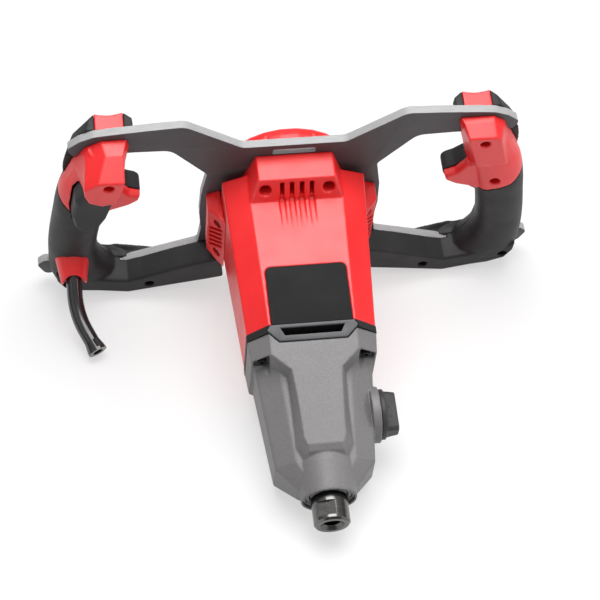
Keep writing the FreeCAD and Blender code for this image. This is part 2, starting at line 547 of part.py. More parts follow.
tools.append(cyl("case_seal_bore", 17.5, 10.0, (0, -231.0, 0), (0, -1, 0)))
tools.append(cyl("case_counter_gear_room", 16.4, 13.0, (-D["counter_offset"], -135.8, 0), (0, -1, 0)))
tools.append(cyl("case_counter_bore", 5.0, 8.0, (-D["counter_offset"], -202.0, 0), (0, -1, 0)))
tools.append(cyl("case_selector_bore", D["selector_rod_rad"] + 0.06, 40.0, (20.0, -D["selector_y"], -D["selector_z"]), (1, 0, 0)))
tools.append(prism("case_frame_room", "XY", FRAME_GAP, 24.0, 45.0))
node(cut("gear_case_cut", gc_solid, *tools), "gear_case")


def screw(name, head_r, head_h, shank_r, long, at, way, socket=1.6):
    """Cap screw: head seat at 'at', shank runs along 'way'."""
    a, w = V(*at), V(*way)
    w = w.multiply(1.0 / w.Length)
    hd = cyl(name + "_head", head_r, head_h, tuple(a), tuple(w * -1.0))
    sh = cyl(name + "_shank", shank_r, long, tuple(a), tuple(w))
    so = cyl(name + "_socket", socket, head_h * 0.6, tuple(a - w * head_h), tuple(w))
    return cut(name, fuse(name + "_join", hd, sh), so)


node(group("gear_case_screws_set", [screw("gcs_%d_%d" % (sx, int(z)), rad, 3.6, 2.25, deep, (sx * 36.0, y, z), (0, 1, 0))
                                    for sx in (-1, 1) for z, y, rad, deep in ((19.6, -139.4, 3.2, 15.2), (-31.0, CF, 4.0, 17.0))]), "gear_case_screws")
node(group("frame_bolts_set", [screw("fb_%d_%d" % (sx, bz), 4.2, 4.6, "frame_bolt_rad", 25.6,
                                     (sx * D["frame_bolt_x"], -13.0, bz * D["frame_bolt_z"]), (0, 1, 0), 2.0)
                               for sx in (-1, 1) for bz in (-1, 1)]), "frame_bolts")
vs = []
for sx in (-1, 1):
    for z in (4.6, -34.6):
        vs.append(screw("vs_%d_%d" % (sx, int(z)), 3.0, 2.4, 1.5, 1.7, (sx * (55.4 - 0.78 * 4.0), -21.2 + 0.62 * 4.0, z), (-0.78 * sx, 0.62, 0), 1.2))
node(group("vent_cover_screws_set", vs), "vent_cover_screws")

# ================================================================= motor
RS = D["shaft_rad"]
turned("armature_shaft", [(0, 23.5), (5.0, 23.5), (5.0, 12.0), ("shaft_rad", 12.0), ("shaft_rad", -136.0), (4.0, -136.0), (4.0, -148.0), (0, -148.0)])
turned("armature_core", [("shaft_rad", -40.0), ("core_rad", -40.0), ("core_rad", -90.0), ("shaft_rad", -90.0)])
turned("armature_windings", [("shaft_rad", -30.5), (14.0, -30.5), (20.5, -33.0), (22.5, -40.0), ("shaft_rad", -40.0)])
turned("commutator", [("shaft_rad", -9.0), ("commutator_rad", -9.0), ("commutator_rad", -27.5), (16.5, -27.5), (16.5, -30.5), ("shaft_rad", -30.5)])
turned("armature_rear_bearing", [(5.06, 14.0), (7.6, 14.0), (7.6, 14.6), (10.4, 14.6), (10.4, 14.0), (13.0, 14.0), (13.0, 22.0), (10.4, 22.0), (10.4, 21.4), (7.6, 21.4), (7.6, 22.0), (5.06, 22.0)])
turned("armature_front_bearing", [(6.06, -126.0), (8.6, -126.0), (8.6, -126.6), (11.4, -126.6), (11.4, -126.0), (14.0, -126.0), (14.0, -134.0), (11.4, -134.0), (11.4, -133.4), (8.6, -133.4), (8.6, -134.0), (6.06, -134.0)])

fan = turned("cooling_fan", [("shaft_rad", -107.0), (12.0, -107.0), (12.0, -117.0), ("fan_rad", -118.0), ("fan_rad", -120.0), ("shaft_rad", -120.0)], keep=False)
doc.recompute()
fsk = fan.newObject("Sketcher::SketchObject", "fan_blade")
fsk.AttachmentSupport = [(plane_of(fan, "XZ_Plane"), "")]
fsk.MapMode = "FlatFace"
outline(fsk, [(11.0, -0.9), (29.8, -0.9), (29.8, 0.9), (11.0, 0.9)])
fsk.AttachmentOffset = Pl(V(0, 0, 109.0), Rot())
bl = fan.newObject("PartDesign::Pad", "fan_blade_pad")
bl.Profile = fsk
bl.Length = 10.0
doc.recompute()
pp = fan.newObject("PartDesign::PolarPattern", "fan_ring")
pp.Originals = [bl]
ax = [f for f in fan.Origin.OriginFeatures if f.Role == "Y_Axis"][0]
pp.Axis = (ax, [""])
pp.Angle = 360.0
bind(pp, "Occurrences", "fan_blades")
fan.Tip = pp
doc.recompute()
node(fan, "cooling_fan")


def sector(name, r0, r1, y0, y1, a0, a1):
    """Ring sector about the Y axis, angles from +X towards +Z."""
    sk = free_sketch(name + "_sk", "XY", 0.0, [(r0, y0), (r1, y0), (r1, y1), (r0, y1)])
    rv = doc.addObject("Part::Revolution", name)
    rv.Source = sk
    rv.Axis = V(0, -1, 0)
    rv.Base = V(0, 0, 0)
    rv.Angle = a1 - a0
    rv.Solid = True
    rv.Placement = Pl(V(0, 0, 0), Rot(V(0, -1, 0), a0))
    return rv


def coil(name, mid):
    return fuse(name, sector(name + "_l1", 27.0, 31.0, -102.0, -34.0, mid - 58.0, mid - 42.0),
                sector(name + "_l2", 27.0, 31.0, -102.0, -34.0, mid + 42.0, mid + 58.0),
                sector(name + "_e1", 27.0, 31.0, -102.0, -97.0, mid - 58.0, mid + 58.0),
                sector(name + "_e2", 27.0, 31.0, -39.0, -34.0, mid - 58.0, mid + 58.0))


stator_tube = turned("stator_tube", [("stator_bore", -41.0), ("stator_rad", -41.0), ("stator_rad", -95.0), ("stator_bore", -95.0)], keep=False)
slots = [sector("slot_%d" % k, 25.0, 31.3, -96.0, -40.0, k - 9.0, k + 9.0) for k in (40, 140, 220, 320)]
node(cut("stator_cut", stator_tube, *slots), "stator_core")
node(group("field_coils_set", [coil("coil_up", 90.0), coil("coil_dn", 270.0)]), "field_coils")

holders, brushes = [], []
for sx in (-1, 1):
    lo, hi = sorted((sx * 17.5, sx * 47.0))
    h = box("holder_%d" % sx, (lo, -24.0, -6.5), (hi, -11.0, 6.5))
    lo2, hi2 = sorted((sx * 10.0, sx * 44.0))
    hc = box("holder_way_%d" % sx, (lo2, -21.6, -4.1), (hi2, -13.4, 4.1))
    holders.append(cut("brush_holder_%d" % sx, h, hc))
    lo3, hi3 = sorted((sx * 14.4, sx * 33.0))
    brushes.append(box("brush_%d" % sx, (lo3, -21.4, -3.9), (hi3, -13.6, 3.9)))
node(group("brush_holders_set", holders), "brush_holders")
node(group("carbon_brushes_set", brushes), "carbon_brushes")

# ================================================================= gears
def gear_points(z, shift, tip_cut=0.0):
    """Involute tooth outline, 20 degree pressure angle, tooth centred on angle 0."""
    m, al, bl_ = D["gear_module"], math.radians(20.0), D["gear_backlash"]
    rp = m * z / 2.0
    rb = rp * math.cos(al)
    ra = rp + m * (1.0 + shift) - tip_cut
    rf = rp - m * (1.25 - shift)
    inv = lambda a: math.tan(a) - a
    s_half = (m * (math.pi / 2 + 2 * shift * math.tan(al)) - bl_) / (2 * rp) + inv(al)
    flank = []
    r_start = max(rb, rf)
    for k in range(7):
        r = r_start + (ra - r_start) * k / 6.0
        a = math.acos(min(1.0, rb / r))
        flank.append((r, s_half - inv(a)))
    if flank[-1][1] < 0.02:
        flank[-1] = (flank[-1][0], 0.02)
    pts = []
    pitch = 2 * math.pi / z
    for i in range(z):
        c = i * pitch
        if rf < rb:
            pts.append((rf, c - flank[0][1]))
        pts += [(r, c - a) for r, a in flank]
        pts += [(r, c + a) for r, a in reversed(flank)]
        if rf < rb:
            pts.append((rf, c + flank[0][1]))
    return pts


def gear(name, z, shift, y0, y1, bore, phase, local, extra=None):
    pts = [V(r * math.cos(a + phase), y0, r * math.sin(a + phase)) for r, a in gear_points(int(z), shift)]
    wire = Part.makePolygon(pts + [pts[0]])
    sol = Part.Face(wire).extrude(V(0, y1 - y0, 0))
    if bore > 0:
        sol = sol.cut(Part.makeCylinder(bore, abs(y1 - y0) + 4.0, V(0, min(y0, y1) - 2.0, 0), V(0, 1, 0)))
    if extra is not None:
        sol = extra(sol)
    f = doc.addObject("Part::Feature", name + "_teeth")
    f.Shape = sol
    return node(f, name, local)


COUNTER = Pl(V(-D["counter_offset"], 0, 0), Rot())
Z1, Z2, Z3, Z4, Z5, Z6 = [int(D[k]) for k in ("teeth_motor", "teeth_counter", "teeth_low_pinion", "teeth_low", "teeth_high_pinion", "teeth_high")]
# the countershaft lies at -X of the motor axis, so motor and spindle gears face angle 180
gear("armature_pinion", Z1, 0.4, -147.5, -137.0, 4.0, math.pi, Pl())
gear("countershaft_gear", Z2, -0.4, -147.0, -137.5, 6.0, math.pi / Z2, COUNTER)
gear("countershaft_high_pinion", Z5, 0.25, -166.4, -159.8, 5.0, 0.0, COUNTER)
gear("countershaft_low_pinion", Z3, 0.4, -201.0, -189.0, 4.0, 0.0, COUNTER)


def dog_slots(sol):
    """Four slots in the rear face that the sleeve's dogs drop into."""
    ring_ = Part.makeCylinder(12.5, 3.6, V(0, -189.0 - 3.5, 0), V(0, 1, 0)).cut(Part.makeCylinder(10.6, 3.6, V(0, -189.0 - 3.5, 0), V(0, 1, 0)))
    bars = [Part.makeBox(8.4, 3.6, 40.0, V(-4.2, -192.5, -20.0)), Part.makeBox(40.0, 3.6, 8.4, V(-20.0, -192.5, -4.2))]
    keep = ring_.common(bars[0].fuse(bars[1]))
    return sol.cut(keep)


def dog_collar(sol):
    """Collar in front of the teeth with the plain ring groove that the dogs enter when the sleeve is shifted."""
    c = Part.makeCylinder(13.6, 4.1, V(0, -170.5, 0), V(0, 1, 0))
    g = Part.makeCylinder(11.9, 3.2, V(0, -170.6, 0), V(0, 1, 0)).cut(Part.makeCylinder(9.9, 3.2, V(0, -170.6, 0), V(0, 1, 0)))
    return sol.fuse(c).cut(g).cut(Part.makeCylinder(7.0 + D["run_clear"], 20.0, V(0, -175.0, 0), V(0, 1, 0)))


gear("spindle_low_gear", Z4, -0.4, -201.0, -189.0, 10.0, math.pi + math.pi / Z4, Pl(), dog_slots)
gear("spindle_high_gear", Z6, -0.25, -166.4, -160.4, 0.0, math.pi + math.pi / Z6, Pl(), dog_collar)

turned("countershaft", [(0, -135.8), (4.0, -135.8), (4.0, -136.5), (6.0, -136.5), (6.0, -148.6), (4.0, -148.6), (4.0, -159.0), (5.0, -159.0), (5.0, -170.4), (4.4, -170.4), (4.4, -188.0), (4.0, -188.0), (4.0, -201.6), (3.0, -201.6), (3.0, -209.4), (0, -209.4)], COUNTER)
cb = [turned("counter_bearing_rear", [(4.06, -150.0), (7.0, -150.0), (7.0, -157.6), (4.06, -157.6)], keep=False),
      turned("counter_bearing_front", [(3.06, -202.6), (5.0, -202.6), (5.0, -209.0), (3.06, -209.0)], keep=False)]
for b in cb:
    b.Placement = COUNTER
node(group("countershaft_bearings_set", cb), "countershaft_bearings")

# bearing plate between the two gear stages
carrier = common("carrier_blank", box("carrier_slab", (-60.0, -158.0, -60.0), (60.0, -149.6, 15.0)), case_room)
node(cut("gear_carrier_cut", carrier, cyl("carrier_bore", 13.0, 6.9, (0, -158.0 - 0.0, 0), (0, 1, 0)), cyl("carrier_eye", 8.6, 20.0, (0, -160.0, 0), (0, 1, 0)),
         cyl("carrier_counter", 7.0, 12.0, (-D["counter_offset"], -159.0, 0), (0, 1, 0))), "gear_carrier_plate")

# ================================================================ spindle
sp = turned("spindle", [("thread_rad", -234.5), (0, -234.5), (0, -152.0), (5.0, -152.0), (5.0, -159.2), (7.0, -159.2), (7.0, -171.0), (10.0, -171.0), (10.0, -203.0),
                        (10.0, -230.0), ("spindle_rad", -230.0), ("spindle_rad", -257.0), (11.2, "-spindle_tip"), (8.4, "-spindle_tip"), ("thread_rad", -255.8)], keep=False)
doc.recompute()
# two wrench flats on the head, and two drive flats under the shift sleeve
for k, (y_hi, y_lo, flat) in enumerate(((-244.6, -255.0, D["spindle_flat"]), (-170.5, -187.6, 8.4))):
    s2 = sp.newObject("Sketcher::SketchObject", "spindle_flat_%d" % k)
    s2.AttachmentSupport = [(plane_of(sp, "XY_Plane"), "")]
    s2.MapMode = "FlatFace"
    if k == 0:
        s2.AttachmentOffset = Pl(V(0, 0, 0), Rot(V(0, 1, 0), -110))
    for sgn in (1, -1):
        outline(s2, [(sgn * flat, y_hi), (sgn * 14.0, y_hi), (sgn * 14.0, y_lo), (sgn * flat, y_lo)])
    p2 = sp.newObject("PartDesign::Pocket", "spindle_flat_cut_%d" % k)
    p2.Profile = s2
    p2.Type = "ThroughAll"
    p2.Midplane = True
    v0 = sp.Shape.Volume
    doc.recompute()
    assert p2.Shape.Volume < v0 - 100.0
node(sp, "spindle")
turned("spindle_rear_bearing", [(5.06, -151.1), (7.2, -151.1), (7.2, -151.5), (10.2, -151.5), (10.2, -151.1), (13.0, -151.1), (13.0, -158.0), (10.2, -158.0), (10.2, -157.6), (7.2, -157.6), (7.2, -158.0), (5.06, -158.0)])
turned("spindle_front_bearing", [(10.06, -204.5), (11.6, -204.5), (11.6, -205.0), (14.4, -205.0), (14.4, -204.5), (16.0, -204.5), (16.0, -216.5), (14.4, -216.5), (14.4, -216.0), (11.6, -216.0), (11.6, -216.5), (10.06, -216.5)])
turned("spindle_seal", [(12.56, -231.4), (17.5, -231.4), (17.5, -238.4), (16.2, -238.4), (15.4, -237.2), (13.6, -237.2), (12.56, -238.4)])
turned("spindle_circlip", [(10.0, -217.2), (12.4, -217.2), (12.4, -218.6), (10.0, -218.6)])

# ========================================================= speed selector
SY, SZ, SF = -D["selector_y"], -D["selector_z"], D["selector_face"]
sel = Pl(V(0, SY, SZ), Rot())
rod = turned("selector_rod", [(0, 27.6), ("selector_rod_rad", 27.6), ("selector_rod_rad", 53.0), (0, 53.0)], keep=False)
rod.Placement = Pl(V(0, SY, SZ), Rot(V(0, 0, 1), -90))
crank_a = math.radians(-90.0 - 45.0)
pin = cyl("selector_pin", 1.8, 6.5, (21.4, SY + D["selector_crank"] * math.sin(math.radians(-45.0)) * 1.0, SZ + D["selector_crank"] * math.cos(math.radians(-45.0)) * 1.0), (1, 0, 0))
web = cyl("selector_web", 7.4, 2.4, (25.3, SY, SZ), (1, 0, 0))
node(fuse("selector_shaft_join", rod, pin, web), "selector_shaft")
kn_base = cyl("knob_base", 17.6, 3.4, (SF + 0.35, SY, SZ), (1, 0, 0))
kn_bar = loft("knob_bar", "YZ", [(SF + 3.0, [(SY - 15.6, SZ - 5.4), (SY - 13.2, SZ - 7.6), (SY + 13.2, SZ - 7.6), (SY + 15.6, SZ - 5.4), (SY + 15.6, SZ + 5.4), (SY + 13.2, SZ + 7.6), (SY - 13.2, SZ + 7.6), (SY - 15.6, SZ + 5.4)]),
                                 (SF + 12.6, [(SY - 14.4, SZ - 4.2), (SY - 12.2, SZ - 5.8), (SY + 12.2, SZ - 5.8), (SY + 14.4, SZ - 4.2), (SY + 14.4, SZ + 4.2), (SY + 12.2, SZ + 5.8), (SY - 12.2, SZ + 5.8), (SY - 14.4, SZ + 4.2)])])
kn = fuse("knob_join", kn_base, kn_bar)
kt = [cyl("knob_bore", "selector_rod_rad", 11.6, (SF, SY, SZ), (1, 0, 0))]
for k in range(-3, 4):
    for sgn in (-1, 1):
        lo, hi = sorted((SZ + sgn * 6.2, SZ + sgn * 12.0))
        kt.append(box("knob_rib_%d_%d" % (k, sgn), (SF + 3.75, SY + k * 2.2 - 0.5, lo), (SF + 11.4, SY + k * 2.2 + 0.5, hi)))
node(cut("selector_knob_cut", kn, *kt), "selector_knob")

# fork: a block with a cross slot for the crank pin and two tines round the sleeve's groove
pin_y, pin_z = SY - D["selector_crank"] * math.sin(math.radians(45.0)), SZ + D["selector_crank"] * math.cos(math.radians(45.0))
fork_back = box("fork_block", (20.2, pin_y - 5.0, SZ - 6.0), (24.6, pin_y + 5.0, SZ + 11.0))
fork_slot = box("fork_slot", (19.0, pin_y - 2.3, SZ - 2.0), (26.0, pin_y + 2.3, SZ + 8.5))
FY = -180.6
tine_ring = turned("fork_ring", [(13.7, FY - 1.4), (19.4, FY - 1.4), (19.4, FY + 1.4), (13.7, FY + 1.4)], keep=False)
tine_half = box("fork_half", (0.0, FY - 3.0, -14.0), (30.0, FY + 3.0, 12.4))
fork_arm = box("fork_arm", (17.0, min(FY - 1.4, pin_y - 5.0), SZ - 6.0), (21.4, max(FY + 1.4, pin_y + 5.0), SZ + 11.0))
fork_arm = cut("fork_arm_cut", fork_arm, cyl("fork_clear", 16.9, 40.0, (0, -200.0, 0), (0, 1, 0)))
node(cut("shift_fork_cut", fuse("fork_join", common("fork_tines", tine_ring, tine_half), fork_arm, fork_back), fork_slot), "shift_fork")

sleeve_body = turned("sleeve_blank", [(0, -174.6), (16.4, -174.6), (16.4, -178.9), (13.4, -178.9), (13.4, -182.3), (16.4, -182.3), (16.4, -186.4), (0, -186.4)], keep=False)
dogs_a = common("sleeve_dog_low", cut("sleeve_dog_ring_low", cyl("sl_o", 12.2, 5.4, (0, -186.2, 0), (0, -1, 0)), cyl("sl_i", 10.9, 9.0, (0, -184.0, 0), (0, -1, 0))),
                fuse("sleeve_bars", box("bar_a", (-3.8, -195.0, -20.0), (3.8, -165.0, 20.0)), box("bar_b", (-20.0, -195.0, -3.8), (20.0, -165.0, 3.8))))
dogs_b = common("sleeve_dog_high", cut("sleeve_dog_ring_high", cyl("sh_o", 11.5, 3.2, (0, -174.8, 0), (0, 1, 0)), cyl("sh_i", 10.3, 6.0, (0, -176.0, 0), (0, 1, 0))),
                fuse("sleeve_bars2", box("bar_c", (-3.8, -195.0, -20.0), (3.8, -165.0, 20.0)), box("bar_d", (-20.0, -195.0, -3.8), (20.0, -165.0, 3.8))))
bore_round = cyl("sleeve_bore_round", 10.0 + D["run_clear"], 30.0, (0, -190.0, 0), (0, 1, 0))
bore_flat = box("sleeve_bore_flat", (-8.46, -200.0, -14.0), (8.46, -160.0, 14.0))
node(cut("shift_sleeve_cut", fuse("sleeve_join", sleeve_body, dogs_a, dogs_b), common("sleeve_bore", bore_round, bore_flat)), "shift_sleeve")

# ================================================================ handles
GX, GH, GD = D["grip_x"], D["grip_half"], D["grip_depth"]
GRIP = [(-86.0, 150.0, -2.0, 22.0, 15.5), (-74.0, 152.75, -2.0, 24.75, 17.6), (-68.0, 155.45, -2.0, 22.95, 18.0), (-62.0, 157.9, -2.0, 20.9, 18.1), (-55.0, 159.4, -2.0, 19.2, 18.1),
        (-46.0, GX - 0.6, -2.0, GH + 0.2, GD), (-38.0, GX - 0.4, -2.0, GH - 0.4, GD), (-22.0, GX - 1.9, -2.0, GH - 0.5, GD), (-8.0, 156.6, -2.0, GH - 0.4, GD),
        (5.0, 154.4, -2.0, GH - 0.2, GD), (25.0, 150.9, -2.0, GH + 0.3, GD - 0.5), (45.0, 146.0, -2.0, GH + 0.6, 15.8), (68.0, 138.0, -2.0, 16.2, 13.6),
        (86.0, 131.5, -2.0, 13.0, 10.5)]
grip = oval_loft("grip_outer", GRIP)
W = D["shell_wall"]
grip_in = oval_loft("grip_inner", [(z + (3.0 if z < -80 else -3.0 if z > 80 else 0.0), cx, cy, ax - W, ay - W) for z, cx, cy, ax, ay in GRIP])

COVER = [(51.0, -49.5), (66.0, -53.2), (85.0, -59.8), (109.0, -69.6), (121.0, -73.6), (135.0, -71.0), (150.0, -66.5), (174.2, -58.0),
         (173.6, -68.0), (168.6, -78.4), (156.0, -84.0), (143.0, -86.0), (121.0, -91.0), (88.0, -84.6), (62.0, -79.8), (49.0, -77.0)]
cov = prism("cover_front_blank", "XZ", COVER, "-cover_front", 3.0)
cov = round_edges("cover_front_soft", cov, 2.0, lambda e: all(abs(v.Y + D["cover_front"]) < 0.01 for v in e.Vertexes))
# the front cover leaves the plate's edge bare near the hub
cov_hub = box("cover_hub_clear", (30.0, 0.0, -100.0), (126.0, 10.0, -40.0))
cov = cut("cover_front_shape", cov, cov_hub)
cov_in = prism("cover_room", "XZ", [(56.0, -54.4), (66.0, -57.0), (85.0, -63.4), (109.0, -73.2), (121.0, -77.2), (135.0, -74.6), (150.0, -70.0), (150.0, -81.2), (143.0, -82.4), (121.0, -87.2), (88.0, -80.8), (62.0, -76.0), (56.0, -75.0)], -D["cover_front"] + W, -0.5)
RCOV = [(98.0, -70.6), (109.0, -71.0), (121.0, -74.2), (135.0, -71.4), (150.0, -66.5), (174.2, -58.0), (173.6, -68.0), (168.6, -78.4), (156.0, -84.0), (143.0, -86.0), (121.0, -90.4), (98.0, -84.0)]
rcov = loft("cover_rear_blank", "XZ", [(3.0, RCOV), (8.0, RCOV), (14.5, [(128.0, -72.6), (131.0, -72.6), (134.0, -73.4), (140.0, -71.6), (150.0, -68.5), (170.0, -63.0), (168.5, -68.0), (161.0, -77.5), (153.0, -81.4), (143.0, -83.0), (134.0, -85.4), (128.0, -83.0)])])

# beak that guards the hand, front half and rear half
BEAK = [(109.3, 33.4), (117.2, 37.0), (123.6, 47.0), (150.0, 50.0), (150.0, 0.0), (130.0, 17.0), (118.0, 22.0), (111.0, 27.2)]
beak_f = prism("beak_front", "XZ", BEAK, -12.0, -5.0)
beak_f = round_edges("beak_front_soft", beak_f, 3.0, lambda e: all(abs(v.Y + 12.0) < 0.01 for v in e.Vertexes))
beak_r = prism("beak_rear", "XZ", [(150.0, 50.0), (124.0, 44.0), (117.2, 38.0), (111.4, 35.0), (109.2, 32.2), (109.3, 29.0), (111.0, 25.0), (117.0, 18.0), (128.0, 11.0), (145.0, -5.0)], -5.0, 10.5)
beak_r = round_edges("beak_rear_soft", beak_r, 3.0, lambda e: all(abs(v.Y - 10.5) < 0.01 for v in e.Vertexes))

# rear block behind the upper arm, with a flat top just under the plate's edge
rb = loft("rear_block_blank", "XZ", [
    (3.0, [(127.0, 50.0), (118.0, 74.0), (112.0, 89.0), (112.6, 95.0), (145.2, 95.0), (158.0, 82.0), (162.4, 61.0), (163.4, 43.0), (127.0, 40.0)]),
    (14.6, [(127.0, 50.0), (118.0, 74.0), (112.0, 88.0), (112.6, 95.0), (143.0, 95.0), (153.6, 80.0), (158.2, 61.0), (158.4, 44.0), (127.0, 42.0)]),
    (19.5, [(129.0, 53.0), (122.0, 74.0), (118.2, 86.0), (118.4, 95.0), (138.2, 95.0), (146.0, 77.0), (150.0, 60.0), (148.4, 48.0), (130.0, 46.0)])])
rb = cut("rear_block_seat", rb, box("rear_block_clear", (100.0, 0.0, 71.0), (170.0, 6.0, 110.0)))
dip = cyl("insert_dip", 30.3, 60.0, (128.4, 48.1, 50.0), (0, 0, 1))
insert_seat = cut("insert_seat", prism("insert_room", "XZ", [(118.6, 58.0), (118.6, 110.0), (138.1, 110.0), (138.6, 90.0), (141.0, 58.0)], 5.9, 40.0),
                  prism("insert_core", "YZ", [(0.0, 40.0), (0.0, 91.6), (16.2, 91.6), (16.2, 40.0)], 110.0, 150.0))
ins_body = common("insert_shape", rb, cut("insert_zone", prism("insert_zone_x", "XZ", [(118.64, 58.04), (118.64, 110.0), (138.06, 110.0), (138.56, 90.0), (140.96, 58.04)], 6.05, 40.0),
                                         prism("insert_zone_in", "YZ", [(0.0, 40.0), (0.0, 91.64), (16.24, 91.64), (16.24, 40.0)], 110.0, 150.0)))
insert_r = cut("right_insert_cut", ins_body, dip)
node(insert_r, "right_rear_insert")
node(mirror("left_insert_cut", cut("left_insert_half", ins_body, dip)), "left_rear_insert")

half_front = box("front_half", (0.0, -60.0, -120.0), (220.0, 3.0, 120.0))
half_rear = box("rear_half", (0.0, 3.0, -120.0), (220.0, 60.0, 120.0))
low_zone = prism("low_zone", "XZ", [(90.0, -120.0), (220.0, -120.0), (220.0, 46.0), (176.0, 46.0), (158.0, 28.0), (146.0, 23.5), (132.0, 12.0), (119.0, 1.0), (112.0, -6.0), (90.0, -6.0)], -60.0, 10.0)
high_zone = prism("high_zone", "XZ", [(90.0, 120.0), (220.0, 120.0), (220.0, 46.4), (176.0, 46.4), (157.9, 28.4), (145.8, 23.9), (131.8, 12.4), (118.8, 1.4), (111.8, -5.6), (90.0, -5.6)], -60.0, 10.0)

# dark front shell: lower grip and lower arm cover
front_low = common("front_low_clip", common("front_low_half", grip, half_front), low_zone)
front_sh = fuse("front_shell_join", front_low, cov)
hole3 = cyl("screw3_r", 2.3, 60.0, (166.0, -40.0, -72.0), (0, 1, 0))
seat3 = cyl("screw3_seat_r", 3.6, 40.0, (166.0, -9.0, -72.0), (0, -1, 0))
hole4 = cyl("screw4_r", 2.3, 60.0, (104.8, -40.0, -79.6), (0, 1, 0))
seat4 = cyl("screw4_seat_r", 3.6, 40.0, (104.8, -9.0, -79.6), (0, -1, 0))
post3 = cyl("screw3_post", 6.0, 12.0, (166.0, -12.0, -72.0), (0, 1, 0))
post4 = cyl("screw4_post", 6.0, 15.0, (104.8, -17.0, -79.6), (0, 1, 0))
room_f = cut("front_room", fuse("front_room_join", grip_in, cov_in), post3, post4)
front_r = cut("right_front_shell_cut", front_sh, room_f, plate_env, hole3, seat3, hole4, seat4)
node(front_r, "right_front_shell")

# faceted blocks in front of the upper arms, the left one deeper
FR, FLF = -D["cap_front_right"], -D["cap_front_left"]
blk_r = loft("right_block", "XZ", [(2.0, [(114.2, 91.4), (139.0, 91.4), (147.6, 85.5), (162.0, 54.0), (125.0, 43.0), (113.9, 86.0)]),
                                   (-5.0, [(117.2, 91.2), (138.9, 91.2), (146.2, 85.0), (159.0, 53.0), (125.6, 45.0), (116.6, 86.0)]),
                                   (FR, [(119.6, 87.8), (139.8, 87.8), (143.2, 84.0), (150.3, 53.7), (129.8, 51.7), (119.9, 83.5)])])
blk_r = round_edges("right_block_soft", blk_r, 1.0, lambda e: all(v.Y < FR + 0.2 for v in e.Vertexes))
blk_l = loft("left_block", "XZ", [(2.0, [(116.8, 90.6), (135.4, 90.6), (146.8, 84.0), (156.0, 68.0), (161.0, 55.0), (140.0, 46.0), (125.0, 43.0), (115.0, 84.0)]),
                                  (-12.6, [(120.2, 90.4), (132.4, 90.4), (146.4, 82.0), (151.0, 70.0), (153.0, 56.0), (138.0, 49.0), (124.6, 47.0), (119.0, 83.0)]),
                                  (FLF, [(120.4, 82.6), (138.9, 83.0), (148.8, 76.0), (148.4, 68.0), (145.5, 60.0), (137.0, 55.2), (128.0, 57.6), (122.6, 72.0)])])
blk_l = round_edges("left_block_soft", blk_l, 1.0, lambda e: all(v.Y < FLF + 0.2 for v in e.Vertexes))

# dark rear shell
beak_r = cut("beak_rear_trim", beak_r, common("beak_grip_half", grip, half_front), blk_r, blk_l)
rear_join = fuse("rear_shell_join", common("rear_grip", grip, half_rear), rcov, beak_r, rb)
rear_room = fuse("rear_room", grip_in, prism("rear_block_room", "XZ", [(130.4, 58.0), (123.4, 76.0), (122.0, 88.0), (135.0, 88.0), (144.0, 76.0), (147.0, 58.0)], 6.0, 13.2))
s1r = cyl("screw1_post_r", 5.0, 8.0, (131.7, 6.0, 80.3), (0, 1, 0))
s1l = cyl("screw1_post_l", 5.0, 8.0, (131.6, 6.0, 76.8), (0, 1, 0))
s2r = cyl("screw2_post", 5.0, 12.5, (145.1, 3.0, 33.1), (0, 1, 0))
rear_solid = cut("rear_shell_hollow_r", rear_join, cut("rear_room_posts_r", rear_room, s1r, s2r))
rear_solid_l = cut("rear_shell_hollow_l", rear_join, cut("rear_room_posts_l", rear_room, s1l))
rear_tools = [plate_env, insert_seat, dip]
pilot = [cyl("pilot_%d" % k, 1.6, deep, (x, 2.0, z), (0, 1, 0)) for k, (x, z, deep) in enumerate(((131.7, 80.3, 11.0), (145.1, 33.1, 10.2), (166.0, -72.0, 9.4), (104.8, -79.6, 6.4)))]
rear_r = cut("right_rear_shell_cut", rear_solid, *(rear_tools + pilot))
node(rear_r, "right_rear_shell")
pilot_l = [cyl("pilot_l%d" % k, 1.6, deep, (x, 2.0, z), (0, 1, 0)) for k, (x, z, deep) in enumerate(((131.6, 76.8, 11.0), (166.0, -72.0, 9.4), (104.8, -79.6, 6.4)))]
rear_l = cut("left_rear_shell_half", rear_solid_l, plate_env, insert_seat, dip, *pilot_l)
node(mirror("left_rear_shell_cut", rear_l), "left_rear_shell")

# red front caps: faceted block in front of the upper arm, running down the grip
cap_core = common("cap_core_clip", common("cap_core_half", fuse("cap_core_join", grip, beak_f), half_front), high_zone)
cap_r_room = prism("right_cap_room", "XZ", [(123.0, 86.0), (136.6, 86.0), (146.0, 62.0), (130.5, 57.0)], FR + W, -0.0)
cap_r_room_posts = cut("right_cap_room_posts", fuse("right_cap_rooms", cap_r_room, grip_in), cyl("c1post", 6.0, 30.0, (131.7, -17.0, 80.3), (0, 1, 0)), cyl("c2post", 6.0, 40.0, (145.1, -22.0, 33.1), (0, 1, 0)))
cap_r = cut("right_front_cap_cut", fuse("right_cap_join", cap_core, blk_r), cap_r_room_posts, plate_env,
            cyl("c1hole", 2.3, 60.0, (131.7, -40.0, 80.3), (0, 1, 0)), cyl("c1seat", 3.7, 40.0, (131.7, -10.0, 80.3), (0, -1, 0)),
            cyl("c2hole", 2.3, 60.0, (145.1, -40.0, 33.1), (0, 1, 0)), cyl("c2seat", 3.7, 40.0, (145.1, -9.0, 33.1), (0, -1, 0)))
node(cap_r, "right_front_cap")

# left side: deeper block over the switch, with the trigger below it (built at +X, then mirrored)
TRIG = [(127.5, 71.0), (145.5, 71.0), (155.5, 54.0), (158.8, 36.0), (157.6, 23.5), (154.0, 17.0), (149.0, 14.4), (144.0, 15.4), (139.0, 20.5), (134.5, 30.0), (129.5, 48.0)]


